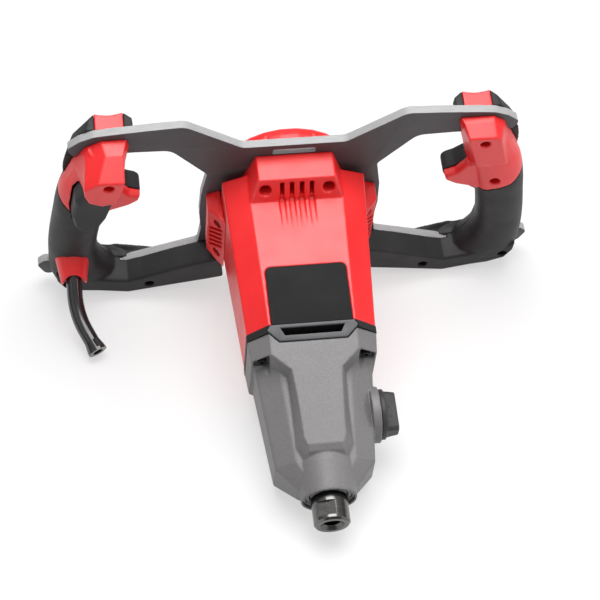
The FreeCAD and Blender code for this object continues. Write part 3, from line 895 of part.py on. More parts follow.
def grow(pts, d):
    """Polygon pushed out by d (corner points move along the mean normal)."""
    n = len(pts)
    area = sum(pts[i][0] * pts[(i + 1) % n][1] - pts[(i + 1) % n][0] * pts[i][1] for i in range(n))
    s = 1.0 if area > 0 else -1.0
    out = []
    for i in range(n):
        (ax_, ay_), (bx, by), (cx, cy) = pts[i - 1], pts[i], pts[(i + 1) % n]
        n1 = V(by - ay_, -(bx - ax_), 0).normalize()
        n2 = V(cy - by, -(cx - bx), 0).normalize()
        m_ = (n1 + n2)
        m_ = m_.multiply(1.0 / (1.0 + n1.dot(n2)))
        out.append((bx + s * d * m_.x, by + s * d * m_.y))
    return out


trig_room = prism("trigger_room", "XZ", grow(TRIG, 0.7), -29.6, -4.0)
cap_l_room = prism("left_cap_room", "XZ", [(124.6, 84.0), (136.0, 84.0), (143.0, 72.0), (142.0, 61.0), (128.6, 60.0)], FLF + 6.0, -0.0)
TPY, TPZ = -D["trigger_pivot_y"], D["trigger_pivot_z"]
cap_l_posts = cut("left_cap_room_posts", fuse("left_cap_rooms", cap_l_room, grip_in), cyl("l1post", 5.4, 40.0, (131.6, -31.0, 76.8), (0, 1, 0)))
cap_l = cut("left_cap_open", cut("left_cap_slot", cut("left_cap_hollow", fuse("left_cap_join", cap_core, blk_l), cap_l_posts), plate_env), trig_room)
cap_l = cut("left_front_cap_half", cap_l,
            cyl("l1hole", 2.3, 60.0, (131.6, -50.0, 76.8), (0, 1, 0)), cyl("l1seat", 3.7, 40.0, (131.6, -22.0, 76.8), (0, -1, 0)),
            cyl("lpin", D["trigger_pin_rad"], 24.0, (123.6, TPY, TPZ), (1, 0, 0)))
node(mirror("left_front_cap_cut", cap_l), "left_front_cap")
front_l = cut("left_front_shell_half", front_sh, room_f, plate_env, trig_room, hole3, seat3, hole4, seat4,
              cyl("gland_seat", 7.6, 30.0, (161.0, -6.4, -36.513), (0, -0.9, -0.43589)))
node(mirror("left_front_shell_cut", front_l), "left_front_shell")

# trigger: tongue with a rounded lower end, pivoted at its top
tr = loft("trigger_blank", "XZ", [(-27.6, grow(TRIG, -2.4)), (-25.4, grow(TRIG, -0.4)), (-23.0, TRIG), (-12.5, TRIG)])
tr = cut("trigger_core", tr, prism("trigger_hollow", "XZ", grow(TRIG, -3.0), -24.0, -12.0), box("trigger_top_clear", (120.0, -40.0, 69.6), (160.0, 0.0, 80.0)),
         box("trigger_spring_room", (131.4, -24.4, 62.0), (145.0, -12.0, 72.0)))
tr_hub = cyl("trigger_hub", 3.6, 9.0, (129.0, TPY, TPZ), (1, 0, 0))
tr_all = cut("trigger_half", fuse("trigger_join", tr, tr_hub), cyl("trigger_eye", D["trigger_pin_rad"] + 0.06, 60.0, (110.0, TPY, TPZ), (1, 0, 0)))
node(mirror("trigger_cut", tr_all), "trigger")
node(cyl("trigger_pin_rod", "trigger_pin_rad", 23.8, (-147.4, TPY, TPZ), (1, 0, 0)), "trigger_pin")
spring = cut("trigger_spring_tube", cyl("spring_o", 2.9, 6.0, (-144.4, TPY, TPZ), (1, 0, 0)), cyl("spring_i", 2.3, 20.0, (-150.0, TPY, TPZ), (1, 0, 0)))
node(spring, "trigger_spring")
swm = box("switch_case", (-158.4, -3.2, 11.0), (-147.0, 7.4, 45.0))
swp = box("switch_plunger", (-155.0, -5.2, 38.0), (-150.0, -3.0, 43.0))
node(fuse("switch_module_join", swm, swp), "switch_module")

# handle screws, one set for both handles
hs_list = []
for k, (x, y, z, long) in enumerate(((131.7, -10.0, 80.3, 22.4), (145.1, -9.0, 33.1, 20.4), (166.0, -9.0, -72.0, 20.0), (104.8, -9.0, -79.6, 17.0),
                                     (-131.6, -22.0, 76.8, 34.4), (-166.0, -9.0, -72.0, 20.0), (-104.8, -9.0, -79.6, 17.0))):
    hs_list.append(screw("hsc_%d" % k, 3.5, 2.6, 1.6, long, (x, y, z), (0, 1, 0), 1.3))
node(group("handle_screws_set", hs_list), "handle_screws")

# ============================================================ cable entry
gl_dir = V(0.0, -0.9, -0.43589)
gl_base = V(-161.0, -13.6, -40.0)
g1 = cone("gland_cone", 12.8, 9.4, 20.0, tuple(gl_base), tuple(gl_dir))
# hollow arch across the cone's end, with a cheek left on each side
gl_up = V(0.0, -0.43589, 0.9)
arch = cyl("gland_arch", 8.2, 60.0, tuple(gl_base + gl_dir * 22.6 - gl_up * 30.0), tuple(gl_up))
g1 = cut("gland_cheeks", g1, arch)
g2 = cyl("gland_neck", 7.5, 20.0, tuple(gl_base - gl_dir * 7.0), tuple(gl_dir))
gl_hole = cyl("gland_hole", "sleeve_rad", 60.0, tuple(gl_base - gl_dir * 20.0), tuple(gl_dir))
gl = cut("gland_cut", fuse("gland_join", cut("gland_trim", g1, mirror("grip_mirror", grip)), g2), gl_hole)
node(gl, "cable_gland")

# bend sleeve: straight out of the gland, one long arc and a flared mouth near the floor
S0 = gl_base - gl_dir * 4.0
S2 = gl_base + gl_dir * 43.0
S3 = V(-147.2, -81.4, -64.7)


def route(points, radii):
    """Straight runs joined by tangent arcs."""
    edges, start = [], points[0]
    for i in range(1, len(points) - 1):
        a, b, c = points[i - 1], points[i], points[i + 1]
        u = (a - b).normalize()
        w = (c - b).normalize()
        half = math.acos(max(-1.0, min(1.0, u.dot(w)))) / 2.0
        tlen = radii[i - 1] / math.tan(half)
        p, q = b + u * tlen, b + w * tlen
        bis = (u + w).normalize()
        mid = b + bis * (radii[i - 1] / math.sin(half) - radii[i - 1])
        if (p - start).Length > 1e-6:
            edges.append(Part.LineSegment(start, p).toShape())
        edges.append(Part.Arc(p, mid, q).toShape())
        start = q
    edges.append(Part.LineSegment(start, points[-1]).toShape())
    return Part.Wire(edges)


ROUTE = [S0, S2, S3]
radii = []
for i in (1,):
    u = (ROUTE[i - 1] - ROUTE[i])
    w = (ROUTE[i + 1] - ROUTE[i])
    half = math.acos(max(-1.0, min(1.0, u.dot(w) / u.Length / w.Length))) / 2.0
    radii.append(0.45 * min(u.Length, w.Length) * math.tan(half))
path = route(ROUTE, radii)
t0 = (ROUTE[1] - ROUTE[0]).normalize()
end_dir = (S3 - S2).normalize()
tube = []
for r in (D["sleeve_rad"], D["sleeve_bore"]):
    prof = Part.Wire([Part.Circle(ROUTE[0], t0, r).toShape()])
    tube.append(path.makePipeShell([prof], True, False))
solid_tube = tube[0].cut(tube[1])
print("sleeve length", round(path.Length, 1), "radii", [round(r, 1) for r in radii],
      "volume ratio", round(tube[0].Volume / (math.pi * D["sleeve_rad"] ** 2 * path.Length), 4))
flare = Part.makeCone(D["sleeve_rad"], D["sleeve_flare"], 7.0, S3 - end_dir * 9.0, end_dir).fuse(Part.makeCylinder(D["sleeve_flare"], 2.0, S3 - end_dir * 2.0, end_dir))
flare = flare.cut(Part.makeCylinder(D["sleeve_bore"], 30.0, S3 - end_dir * 15.0, end_dir))
slv = doc.addObject("Part::Feature", "cable_sleeve_tube")
slv.Shape = solid_tube.fuse(flare).removeSplitter()
node(slv, "cable_sleeve")

# ============================================================ placement
doc.recompute()
world = Pl(V(0, D["rest_shift"], D["rest_lift"]), Rot(V(1, 0, 0), D["rest_tilt"]))
for obj, name, local in PARTS:
    obj.Placement = world.multiply(local).multiply(obj.Placement) if obj.TypeId in ("Part::Cylinder", "Part::Box") else world.multiply(local)
doc.recompute()

bad = [o.Name for o in doc.Objects if "Invalid" in o.State or "Error" in o.State]
for obj, name, local in PARTS:
    if obj.Shape.isNull() or not obj.Shape.isValid() or not obj.Shape.Solids:
        bad.append(name)
if bad:
    raise RuntimeError("failed objects: %s" % bad)
assert len(set(n for o, n, l in PARTS)) == len(PARTS)

os.makedirs("parts", exist_ok=True)
bb = FreeCAD.BoundBox()
for obj, name, local in PARTS:
    obj.Shape.exportStep(os.path.join("parts", name + ".step"))
    bb.add(obj.Shape.BoundBox)
    print("%-26s solids %d  volume %10.1f" % (name, len(obj.Shape.Solids), obj.Shape.Volume))
print("lowest", sorted((round(o.Shape.BoundBox.ZMin, 2), n) for o, n, l in PARTS)[:5])
print("nodes", len(PARTS), "box", [round(v, 2) for v in (bb.XMin, bb.YMin, bb.ZMin, bb.XMax, bb.YMax, bb.ZMax)])
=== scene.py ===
import json
import math

import bmesh
import bpy
import numpy as np
from mathutils import Matrix, Vector

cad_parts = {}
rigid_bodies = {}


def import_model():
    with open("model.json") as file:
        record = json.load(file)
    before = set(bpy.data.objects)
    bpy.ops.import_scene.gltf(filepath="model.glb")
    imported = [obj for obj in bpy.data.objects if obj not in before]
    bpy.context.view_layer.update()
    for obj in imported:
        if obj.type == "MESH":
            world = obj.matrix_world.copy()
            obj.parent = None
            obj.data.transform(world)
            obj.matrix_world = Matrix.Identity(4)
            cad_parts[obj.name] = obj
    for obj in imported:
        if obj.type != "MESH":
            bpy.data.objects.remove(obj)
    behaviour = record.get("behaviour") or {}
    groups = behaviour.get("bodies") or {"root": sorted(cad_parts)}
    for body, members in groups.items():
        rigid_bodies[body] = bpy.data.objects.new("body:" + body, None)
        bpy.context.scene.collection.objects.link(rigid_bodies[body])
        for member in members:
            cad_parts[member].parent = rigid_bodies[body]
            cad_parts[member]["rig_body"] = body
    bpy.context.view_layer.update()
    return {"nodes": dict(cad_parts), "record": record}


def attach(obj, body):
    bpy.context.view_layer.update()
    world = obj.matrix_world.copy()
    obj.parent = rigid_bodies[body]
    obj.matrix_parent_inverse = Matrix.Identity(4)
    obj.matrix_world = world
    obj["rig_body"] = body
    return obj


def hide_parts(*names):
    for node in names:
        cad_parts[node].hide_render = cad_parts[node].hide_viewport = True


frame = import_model()
NODES = frame["nodes"]

# The tool's own axes: X across the handles, Y from nose to rear cap, Z up in the plate's plane.
TILT, SHIFT, LIFT = math.radians(16.2), 0.10471, 0.09221
TOOL = Matrix.Translation((0.0, SHIFT, LIFT)) @ Matrix.Rotation(TILT, 4, "X")
UNTOOL = TOOL.inverted()

# ------------------------------------------------------------------ camera
RIGHT = Vector((0.99195269, -0.11332302, 0.05646022))
UP = Vector((0.07232292, 0.87319611, 0.48197298))
BACK = Vector((-0.10391948, -0.47401102, 0.87436508))
EYE = Vector((-0.1460963, -0.7420889, 1.2109668))
shot = bpy.data.cameras.new("camera")
shot.lens, shot.sensor_width, shot.sensor_fit = 117.0, 36.0, "HORIZONTAL"
shot.clip_start, shot.clip_end = 0.05, 60.0
eye = bpy.data.objects.new("camera", shot)
bpy.context.scene.collection.objects.link(eye)
pose = Matrix((RIGHT, UP, BACK)).transposed().to_4x4()
pose.translation = EYE
eye.matrix_world = TOOL @ pose
bpy.context.scene.camera = eye


# --------------------------------------------------------------- materials
class Graph:
    """A material's node tree with short calls."""

    def __init__(self, name):
        self.mat = bpy.data.materials.new(name)
        self.mat.use_nodes = True
        self.tree = self.mat.node_tree
        self.tree.nodes.clear()
        self.out = self.add("ShaderNodeOutputMaterial")
        self.bsdf = self.add("ShaderNodeBsdfPrincipled")
        self.join(self.bsdf.outputs[0], self.out.inputs[0])
        self.coord = self.add("ShaderNodeTexCoord")

    def add(self, kind, **values):
        n = self.tree.nodes.new(kind)
        for k, v in values.items():
            setattr(n, k, v)
        return n

    def join(self, a, b):
        self.tree.links.new(a, b)

    def noise(self, scale, detail=3.0, rough=0.55, stretch=None):
        n = self.add("ShaderNodeTexNoise")
        n.inputs["Scale"].default_value = scale
        n.inputs["Detail"].default_value = detail
        n.inputs["Roughness"].default_value = rough
        if stretch is None:
            self.join(self.coord.outputs["Object"], n.inputs["Vector"])
        else:
            m = self.add("ShaderNodeMapping")
            m.inputs["Rotation"].default_value = (-TILT, 0.0, 0.0)
            m.inputs["Scale"].default_value = stretch
            self.join(self.coord.outputs["Object"], m.inputs["Vector"])
            self.join(m.outputs[0], n.inputs["Vector"])
        return n.outputs["Fac"]

    def cells(self, scale):
        n = self.add("ShaderNodeTexVoronoi")
        n.inputs["Scale"].default_value = scale
        self.join(self.coord.outputs["Object"], n.inputs["Vector"])
        return n.outputs["Distance"]

    def ramp(self, value, a, b, lo, hi):
        n = self.add("ShaderNodeMapRange")
        self.join(value, n.inputs["Value"])
        for key, v in zip(("From Min", "From Max", "To Min", "To Max"), (a, b, lo, hi)):
            n.inputs[key].default_value = v
        return n.outputs[0]

    def math(self, op, a, b=None):
        n = self.add("ShaderNodeMath", operation=op)
        for i, v in enumerate((a, b)):
            if v is None:
                continue
            if isinstance(v, (int, float)):
                n.inputs[i].default_value = v
            else:
                self.join(v, n.inputs[i])
        return n.outputs[0]

    def blend(self, fac, a, b):
        n = self.add("ShaderNodeMix", data_type="RGBA")
        self.join(fac, n.inputs[0])
        for i, c in ((6, a), (7, b)):
            if isinstance(c, (tuple, list)):
                n.inputs[i].default_value = (*c[:3], 1.0)
            else:
                self.join(c, n.inputs[i])
        return n.outputs[2]

    def edges(self, radius):
        """High on convex and concave edges."""
        bv = self.add("ShaderNodeBevel", samples=4)
        bv.inputs["Radius"].default_value = radius
        geo = self.add("ShaderNodeNewGeometry")
        dot = self.add("ShaderNodeVectorMath", operation="DOT_PRODUCT")
        self.join(bv.outputs[0], dot.inputs[0])
        self.join(geo.outputs["Normal"], dot.inputs[1])
        return self.ramp(dot.outputs["Value"], 0.99, 0.86, 0.0, 1.0), bv.outputs[0]

    def bump(self, height, strength, distance, normal=None):
        n = self.add("ShaderNodeBump")
        n.inputs["Strength"].default_value = strength
        n.inputs["Distance"].default_value = distance
        self.join(height, n.inputs["Height"])
        if normal is not None:
            self.join(normal, n.inputs["Normal"])
        return n.outputs[0]

    def done(self, colour, rough, normal, metal=0.0, spec=0.5, coat=0.0, coat_rough=0.1, sheen=0.0):
        b = self.bsdf
        self.join(colour, b.inputs["Base Color"])
        self.join(rough, b.inputs["Roughness"])
        if normal is not None:
            self.join(normal, b.inputs["Normal"])
        b.inputs["Metallic"].default_value = metal
        b.inputs["Specular IOR Level"].default_value = spec
        b.inputs["Coat Weight"].default_value = coat
        b.inputs["Coat Roughness"].default_value = coat_rough
        b.inputs["Sheen Weight"].default_value = sheen
        b.inputs["Sheen Roughness"].default_value = 0.5
        return self.mat


def moulded(name, base, alt, worn, rough, grain, depth, spec=0.5, coat=0.0, sheen=0.0, round_=0.0006):
    """Moulded plastic: fine spark-eroded grain, slow colour drift, rubbed edges."""
    g = Graph(name)
    drift = g.ramp(g.noise(28.0, 4.0), 0.36, 0.64, 0.0, 1.0)
    fine = g.noise(grain, 2.0, 0.6)
    wear, soft = g.edges(round_)
    scuff = g.math("MULTIPLY", wear, g.ramp(g.noise(160.0, 4.0), 0.42, 0.62, 0.15, 0.6))
    colour = g.blend(scuff, g.blend(drift, base, alt), worn)
    r = g.math("ADD", g.ramp(g.noise(70.0, 5.0), 0.3, 0.7, rough[0], rough[1]), g.ramp(fine, 0.3, 0.7, -0.03, 0.03))
    normal = g.bump(g.noise(9.0, 1.0), 0.06, 0.004, g.bump(fine, depth, 0.00012, soft))
    return g.done(colour, r, normal, spec=spec, coat=coat, coat_rough=0.22, sheen=sheen)


def metal(name, base, alt, rough, stretch, lines=0.12, metallic=1.0):
    """Machined metal with tool marks along one direction."""
    g = Graph(name)
    marks = g.noise(1.0, 3.0, 0.6, stretch)
    drift = g.ramp(g.noise(90.0, 4.0), 0.35, 0.65, 0.0, 1.0)
    wear, soft = g.edges(0.0003)
    colour = g.blend(g.math("MULTIPLY", wear, 0.35), g.blend(drift, base, alt), tuple(min(1.0, 1.6 * c) for c in base))
    r = g.math("ADD", g.ramp(marks, 0.3, 0.7, rough[0], rough[1]), g.ramp(g.noise(240.0, 3.0), 0.3, 0.7, -0.03, 0.03))
    return g.done(colour, r, g.bump(marks, lines, 0.00008, soft), metal=metallic)


def plate_coat():
    """Coated plate: sheet faces painted dark as shade, edges painted pale as lit from above."""
    g = Graph("plate_coat")
    along = g.add("ShaderNodeVectorMath", operation="DOT_PRODUCT")
    g.join(g.coord.outputs["Normal"], along.inputs[0])
    along.inputs[1].default_value = (0.0, math.cos(TILT), math.sin(TILT))
    flat = g.math("ABSOLUTE", along.outputs["Value"])
    # painted light and shade: one grey coat is split by the face normal into a dark shaded grey on the faces and a
    # pale lit grey, with streaks, on the edges
    rim = g.ramp(flat, 0.45, 0.75, 1.0, 0.0)
    orange = g.cells(1100.0)
    fine = g.noise(2600.0, 2.0)
    painted_shade_face = g.blend(g.ramp(g.noise(45.0, 4.0), 0.35, 0.65, 0.0, 1.0), (0.050, 0.052, 0.056), (0.061, 0.063, 0.067))
    side = g.blend(g.ramp(g.noise(1.0, 3.0, 0.6, (90.0, 1400.0, 90.0)), 0.3, 0.7, 0.0, 1.0), (0.30, 0.30, 0.305), (0.38, 0.38, 0.385))
    colour = g.blend(rim, painted_shade_face, side)
    wear, soft = g.edges(0.0005)
    colour = g.blend(g.math("MULTIPLY", wear, 0.35), colour, (0.50, 0.50, 0.51))
    r = g.math("ADD", g.ramp(orange, 0.0, 0.8, 0.42, 0.55), g.ramp(fine, 0.3, 0.7, -0.03, 0.03))
    n = g.bump(fine, 0.10, 0.0001, g.bump(orange, 0.10, 0.00012, soft))
    return g.done(colour, r, n, metal=0.0, spec=0.45)


def cast():
    """Grey coated casting with a sandy grain."""
    g = Graph("cast_coat")
    sand = g.noise(1500.0, 3.0, 0.65)
    pits = g.cells(900.0)
    drift = g.ramp(g.noise(30.0, 5.0), 0.35, 0.65, 0.0, 1.0)
    speck = g.ramp(sand, 0.38, 0.62, 0.0, 1.0)
    colour = g.blend(speck, g.blend(drift, (0.134, 0.130, 0.133), (0.157, 0.152, 0.155)), (0.194, 0.188, 0.191))
    wear, soft = g.edges(0.0008)
    colour = g.blend(g.math("MULTIPLY", wear, g.ramp(g.noise(200.0, 4.0), 0.4, 0.65, 0.1, 0.6)), colour, (0.42, 0.41, 0.41))
    r = g.ramp(g.noise(600.0, 3.0), 0.3, 0.7, 0.46, 0.60)
    n = g.bump(sand, 0.32, 0.00018, g.bump(pits, 0.12, 0.00015, soft))
    return g.done(colour, r, n, metal=0.15, spec=0.5)


def outlet():
    """Grey coated air outlet frame, with painted shade taking it to near black below its rim."""
    g = Graph("outlet_coat")
    sand = g.noise(1500.0, 3.0, 0.65)
    drift = g.ramp(g.noise(40.0, 4.0), 0.35, 0.65, 0.0, 1.0)
    colour = g.blend(drift, (0.088, 0.088, 0.094), (0.108, 0.108, 0.115))
    wear, soft = g.edges(0.0006)
    colour = g.blend(g.math("MULTIPLY", wear, 0.45), colour, (0.36, 0.36, 0.37))
    m = g.add("ShaderNodeMapping")
    m.inputs["Rotation"].default_value = (-TILT, 0.0, 0.0)
    g.join(g.coord.outputs["Object"], m.inputs["Vector"])
    part = g.add("ShaderNodeSeparateXYZ")
    g.join(m.outputs[0], part.inputs[0])
    # depth below the slanted rim plane, in the tool's axes
    slope = (36.42 - 33.4) / (134.4 - 123.15)
    base = UNTOOL.to_translation()
    rim_y = g.math("ADD", part.outputs["Y"], base.y)
    rim_z = g.math("ADD", part.outputs["Z"], base.z)
    plane = g.math("ADD", g.math("MULTIPLY", g.math("ADD", rim_y, 0.12315), slope), 0.03642)
    depth = g.math("SUBTRACT", plane, rim_z)
    # painted shade: the frame is blended to near black with depth below the rim plane, standing in for the shade
    # inside the recess
    painted_recess_shade = g.ramp(depth, 0.0007, 0.0022, 0.0, 1.0)
    colour = g.blend(painted_recess_shade, colour, g.blend(drift, (0.003, 0.003, 0.003), (0.005, 0.005, 0.005)))
    r = g.ramp(g.noise(600.0, 3.0), 0.3, 0.7, 0.46, 0.60)
    return g.done(colour, r, g.bump(sand, 0.25, 0.00016, soft), metal=0.0, spec=0.4)


def rubber():
    """Smooth glossy black bend sleeve."""
    g = Graph("sleeve_black")
    drift = g.ramp(g.noise(60.0, 4.0), 0.35, 0.65, 0.0, 1.0)
    colour = g.blend(drift, (0.010, 0.010, 0.011), (0.016, 0.016, 0.017))
    r = g.ramp(g.noise(140.0, 4.0), 0.3, 0.7, 0.14, 0.24)
    return g.done(colour, r, g.bump(g.noise(500.0, 2.0), 0.05, 0.0002), spec=0.6, coat=0.3)


def laminated():
    """Stacked steel sheets across the motor axis."""
    g = Graph("sheet_stack")
    lines = g.noise(1.0, 1.0, 0.5, (3.0, 1800.0, 3.0))
    colour = g.blend(g.ramp(lines, 0.35, 0.65, 0.0, 1.0), (0.16, 0.16, 0.17), (0.36, 0.36, 0.38))
    return g.done(colour, g.ramp(g.noise(300.0), 0.3, 0.7, 0.35, 0.5), g.bump(lines, 0.4, 0.0002), metal=0.9)


def winding():
    """Lacquered copper wire."""
    g = Graph("copper_wire")
    wires = g.noise(1.0, 1.0, 0.5, (1500.0, 120.0, 1500.0))
    colour = g.blend(g.ramp(wires, 0.35, 0.65, 0.0, 1.0), (0.38, 0.13, 0.045), (0.66, 0.27, 0.10))
    return g.done(colour, g.ramp(wires, 0.3, 0.7, 0.22, 0.42), g.bump(wires, 0.5, 0.0004), metal=0.9, coat=0.3)


RED = moulded("red_moulding", (0.78, 0.010, 0.012), (0.73, 0.008, 0.010), (0.86, 0.10, 0.09), (0.36, 0.45), 2300.0, 0.10, spec=0.72)
DARK = moulded("soft_dark", (0.0125, 0.0125, 0.0135), (0.016, 0.016, 0.017), (0.05, 0.05, 0.052), (0.50, 0.60), 2600.0, 0.22, spec=0.34)
BADGE = moulded("badge_satin", (0.012, 0.012, 0.012), (0.015, 0.015, 0.015), (0.05, 0.05, 0.05), (0.52, 0.60), 2600.0, 0.05, spec=0.10, round_=0.0004)
KNOB = moulded("knob_dark", (0.030, 0.030, 0.032), (0.037, 0.037, 0.039), (0.09, 0.09, 0.092), (0.46, 0.56), 2600.0, 0.20, spec=0.42)
CARBON = moulded("brush_carbon", (0.02, 0.02, 0.021), (0.03, 0.03, 0.03), (0.06, 0.06, 0.06), (0.5, 0.6), 1800.0, 0.2)
PLATE, CAST, OUTLET, RUBBER, SHEETS, COPPER = plate_coat(), cast(), outlet(), rubber(), laminated(), winding()
STEEL = metal("turned_steel", (0.11, 0.107, 0.105), (0.15, 0.146, 0.143), (0.18, 0.27), (60.0, 2200.0, 60.0), 0.07)
SCREW = metal("black_screw", (0.045, 0.045, 0.047), (0.065, 0.065, 0.067), (0.30, 0.45), (700.0, 700.0, 700.0), metallic=0.85)
RACE = metal("bearing_steel", (0.58, 0.58, 0.60), (0.66, 0.66, 0.68), (0.12, 0.24), (40.0, 1800.0, 40.0))
LOOK = {"plate": PLATE, "red_plastic": RED, "dark_plastic": DARK, "badge": BADGE, "cast_case": CAST, "screw_steel": SCREW,
        "steel": STEEL, "lamination": SHEETS, "copper": COPPER, "bearing_steel": RACE, "carbon": CARBON, "rubber": RUBBER}
SLOT = {s["node"]: s["material_slot"] for s in frame["record"]["subparts"]}
OWN = {"selector_knob": KNOB}
for name, obj in NODES.items():
    obj.data.materials.clear()
    obj.data.materials.append(OWN.get(name, LOOK[SLOT[name]]))


# ------------------------------------------------------------------ pieces
def baked(obj):
    """The object's mesh with its modifiers applied."""
    dg = bpy.context.evaluated_depsgraph_get()
    dg.update()
    made = bpy.data.meshes.new_from_object(obj.evaluated_get(dg))
    obj.modifiers.clear()
    old = obj.data
    obj.data = made
    bpy.data.meshes.remove(old)


def coords(me):
    co = np.zeros(len(me.vertices) * 3)
    me.vertices.foreach_get("co", co)
    return co.reshape(-1, 3)


def set_coords(me, co):
    me.vertices.foreach_set("co", np.asarray(co, np.float32).ravel())
    me.update()


def twin(node):
    """A welded copy of a node's mesh, in the tool's axes, as a new object."""
    me = NODES[node].data.copy()
    me.transform(UNTOOL)
    bm = bmesh.new()
    bm.from_mesh(me)
    bmesh.ops.remove_doubles(bm, verts=bm.verts, dist=2e-6)
    bm.to_mesh(me)
    bm.free()
    obj = bpy.data.objects.new(node + "_skin", me)
    bpy.context.scene.collection.objects.link(obj)
    return obj


def settle(obj, node, look=None):
    """Puts a finished copy back in the frame, in the node's place."""
    obj.data.transform(TOOL)
    obj.data.materials.clear()
    obj.data.materials.append(look or OWN.get(node, LOOK[SLOT[node]]))
    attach(obj, NODES[node]["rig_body"])
    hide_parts(node)
    return obj


def smoothed(obj, times, factor=0.5):
    sm = obj.modifiers.new("smooth", "SMOOTH")
    sm.factor, sm.iterations = factor, times


def soften(node, voxel=0.0007, times=4, keep=0.4, shape=None):
    """Moulded copy: remeshed, optionally reshaped, edges eased."""
    obj = twin(node)
    rm = obj.modifiers.new("remesh", "REMESH")
    rm.mode, rm.voxel_size, rm.use_smooth_shade = "VOXEL", voxel, True
    baked(obj)
    if shape is not None:
        set_coords(obj.data, shape(coords(obj.data)))
    smoothed(obj, times)
    if keep < 1.0:
        dc = obj.modifiers.new("thin", "DECIMATE")
        dc.ratio = keep
    baked(obj)
    obj.data.shade_smooth()
    return settle(obj, node)


def chamfer(node, width, segments=3, angle=28.0, look=None):
    """Machined copy: flat faces merged, edges rounded."""
    obj = twin(node)
    bm = bmesh.new()
    bm.from_mesh(obj.data)
    bmesh.ops.dissolve_limit(bm, angle_limit=math.radians(0.8), verts=bm.verts, edges=bm.edges)
    bm.to_mesh(obj.data)
    bm.free()
    bv = obj.modifiers.new("round", "BEVEL")
    bv.width, bv.segments, bv.limit_method, bv.angle_limit = width, segments, "ANGLE", math.radians(angle)
    bv.harden_normals = False
    baked(obj)
    obj.data.shade_smooth()
    obj.data.set_sharp_from_angle(angle=math.radians(40.0))
    return settle(obj, node, look)


# Smooth grip: the oval's centre and half widths along the handle, in millimetres.
GRIP = np.array([(-86.0, 150.0, -2.0, 22.0, 15.5), (-74.0, 152.75, -2.0, 24.75, 17.6), (-68.0, 155.45, -2.0, 22.95, 18.0), (-62.0, 157.9, -2.0, 20.9, 18.1), (-55.0, 159.4, -2.0, 19.2, 18.1),
                 (-46.0, 159.9, -2.0, 18.4, 18.0), (-38.0, 160.1, -2.0, 17.8, 18.0), (-22.0, 158.6, -2.0, 17.7, 18.0), (-8.0, 156.6, -2.0, 17.8, 18.0),
                 (5.0, 154.4, -2.0, 18.0, 18.0), (25.0, 150.9, -2.0, 18.5, 17.5), (45.0, 146.0, -2.0, 18.8, 15.8), (68.0, 138.0, -2.0, 16.2, 13.6),
                 (86.0, 131.5, -2.0, 13.0, 10.5)])
GRIP_SLOPE = np.gradient(GRIP[:, 1:], GRIP[:, 0], axis=0)


def grip_at(z):
    """Centre and half widths of the oval at height z, without kinks between the rows."""
    zs = GRIP[:, 0]
    i = np.clip(np.searchsorted(zs, z) - 1, 0, len(zs) - 2)
    h = (zs[i + 1] - zs[i])[:, None]
    t = np.clip((z - zs[i]) / h[:, 0], 0.0, 1.0)[:, None]
    return ((2 * t ** 3 - 3 * t ** 2 + 1) * GRIP[i, 1:] + (t ** 3 - 2 * t ** 2 + t) * h * GRIP_SLOPE[i]
            + (-2 * t ** 3 + 3 * t ** 2) * GRIP[i + 1, 1:] + (t ** 3 - t ** 2) * h * GRIP_SLOPE[i + 1])


def step(a, b, v):
    t = np.clip((v - a) / (b - a), 0.0, 1.0)
    return t * t * (3.0 - 2.0 * t)


def round_grip(co):
    """Moves the flats of the sixteen-sided grip out to the true oval."""
    p = co * 1000.0
    side = np.where(p[:, 0] < 0.0, -1.0, 1.0)
    c = grip_at(p[:, 2])
    u = (np.abs(p[:, 0]) - c[:, 0]) / c[:, 2]
    v = (p[:, 1] - c[:, 1]) / c[:, 3]
    q = 2.0 / 0.86
    far = np.maximum((np.abs(u) ** q + np.abs(v) ** q) ** (1.0 / q), 1e-6)
    w = step(0.925, 0.95, far) * step(1.045, 1.02, far) * step(-70.0, -62.0, p[:, 2]) * step(58.0, 46.0, p[:, 2])
    k = 1.0 + w * (1.0 / far - 1.0)
    out = p.copy()
    out[:, 0] = side * (c[:, 0] + u * k * c[:, 2])
    out[:, 1] = c[:, 1] + v * k * c[:, 3]
    return out / 1000.0


for part in ("right_front_shell", "left_front_shell", "right_rear_shell", "left_rear_shell", "right_front_cap", "left_front_cap"):
    soften(part, 0.0007, 5, 0.4, round_grip)
for part in ("trigger", "right_rear_insert", "left_rear_insert", "cable_gland"):
    soften(part, 0.0006, 4, 0.4)
for part in ("motor_housing", "gear_case", "vent_cover_right", "vent_cover_left", "selector_knob"):
    soften(part, 0.0006, 3, 0.35)
soften("rear_cap", 0.0007, 5, 0.4)
for part, width, look in (("frame_plate", 0.0006, None), ("badge_plate", 0.0003, None), ("exhaust_frame", 0.0005, OUTLET)):
    chamfer(part, width, look=look)

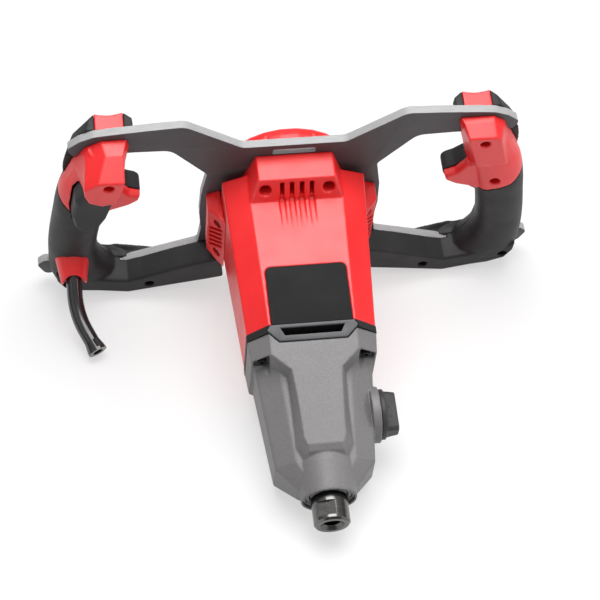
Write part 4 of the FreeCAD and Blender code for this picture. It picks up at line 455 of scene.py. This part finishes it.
# ---------------------------------------------------------- floor and light
floor_mesh = bpy.data.meshes.new("floor")
floor_mesh.from_pydata([(-8, -8, -0.0004), (8, -8, -0.0004), (8, 8, -0.0004), (-8, 8, -0.0004)], [], [(0, 1, 2, 3)])
floor = bpy.data.objects.new("floor", floor_mesh)
bpy.context.scene.collection.objects.link(floor)
g = Graph("floor_white")
shade = g.blend(g.ramp(g.noise(3.0, 2.0), 0.3, 0.7, 0.0, 1.0), (0.34, 0.34, 0.34), (0.36, 0.36, 0.36))
g.done(shade, g.ramp(g.noise(5.0), 0.3, 0.7, 0.75, 0.8), None, spec=0.05)
g.bsdf.inputs["Emission Color"].default_value = (1.0, 1.0, 1.0, 1.0)
g.bsdf.inputs["Emission Strength"].default_value = 0.55
floor.data.materials.append(g.mat)

# studio dome: bright overhead, dim at the horizon
world = bpy.data.worlds.new("studio")
bpy.context.scene.world = world
world.use_nodes = True
wt = world.node_tree
sky = wt.nodes["Background"]
way = wt.nodes.new("ShaderNodeTexCoord")
split = wt.nodes.new("ShaderNodeSeparateXYZ")
wt.links.new(way.outputs["Generated"], split.inputs[0])
high = wt.nodes.new("ShaderNodeMapRange")
for key, v in zip(("From Min", "From Max", "To Min", "To Max"), (0.0, 0.85, 0.11, 0.62)):
    high.inputs[key].default_value = v
wt.links.new(split.outputs["Z"], high.inputs["Value"])
sky.inputs[0].default_value = (1.0, 1.0, 1.0, 1.0)
wt.links.new(high.outputs[0], sky.inputs[1])


def lamp(name, place, aim, size, power):
    d = bpy.data.lights.new(name, "AREA")
    d.shape, d.size, d.energy = "SQUARE", size, power
    o = bpy.data.objects.new(name, d)
    bpy.context.scene.collection.objects.link(o)
    o.location = place
    o.rotation_mode = "QUATERNION"
    o.rotation_quaternion = (Vector(aim) - Vector(place)).to_track_quat("-Z", "Y")
    return o


lamp("key", (0.05, 0.12, 1.40), (0.0, 0.0, 0.08), 1.1, 22.0)
lamp("left_strip", (-1.25, -0.55, 0.75), (0.0, 0.0, 0.08), 0.6, 0.5)
lamp("right_strip", (1.25, -0.35, 0.70), (0.0, 0.0, 0.08), 0.5, 4.0)
bpy.context.scene.view_settings.view_transform = "Standard"
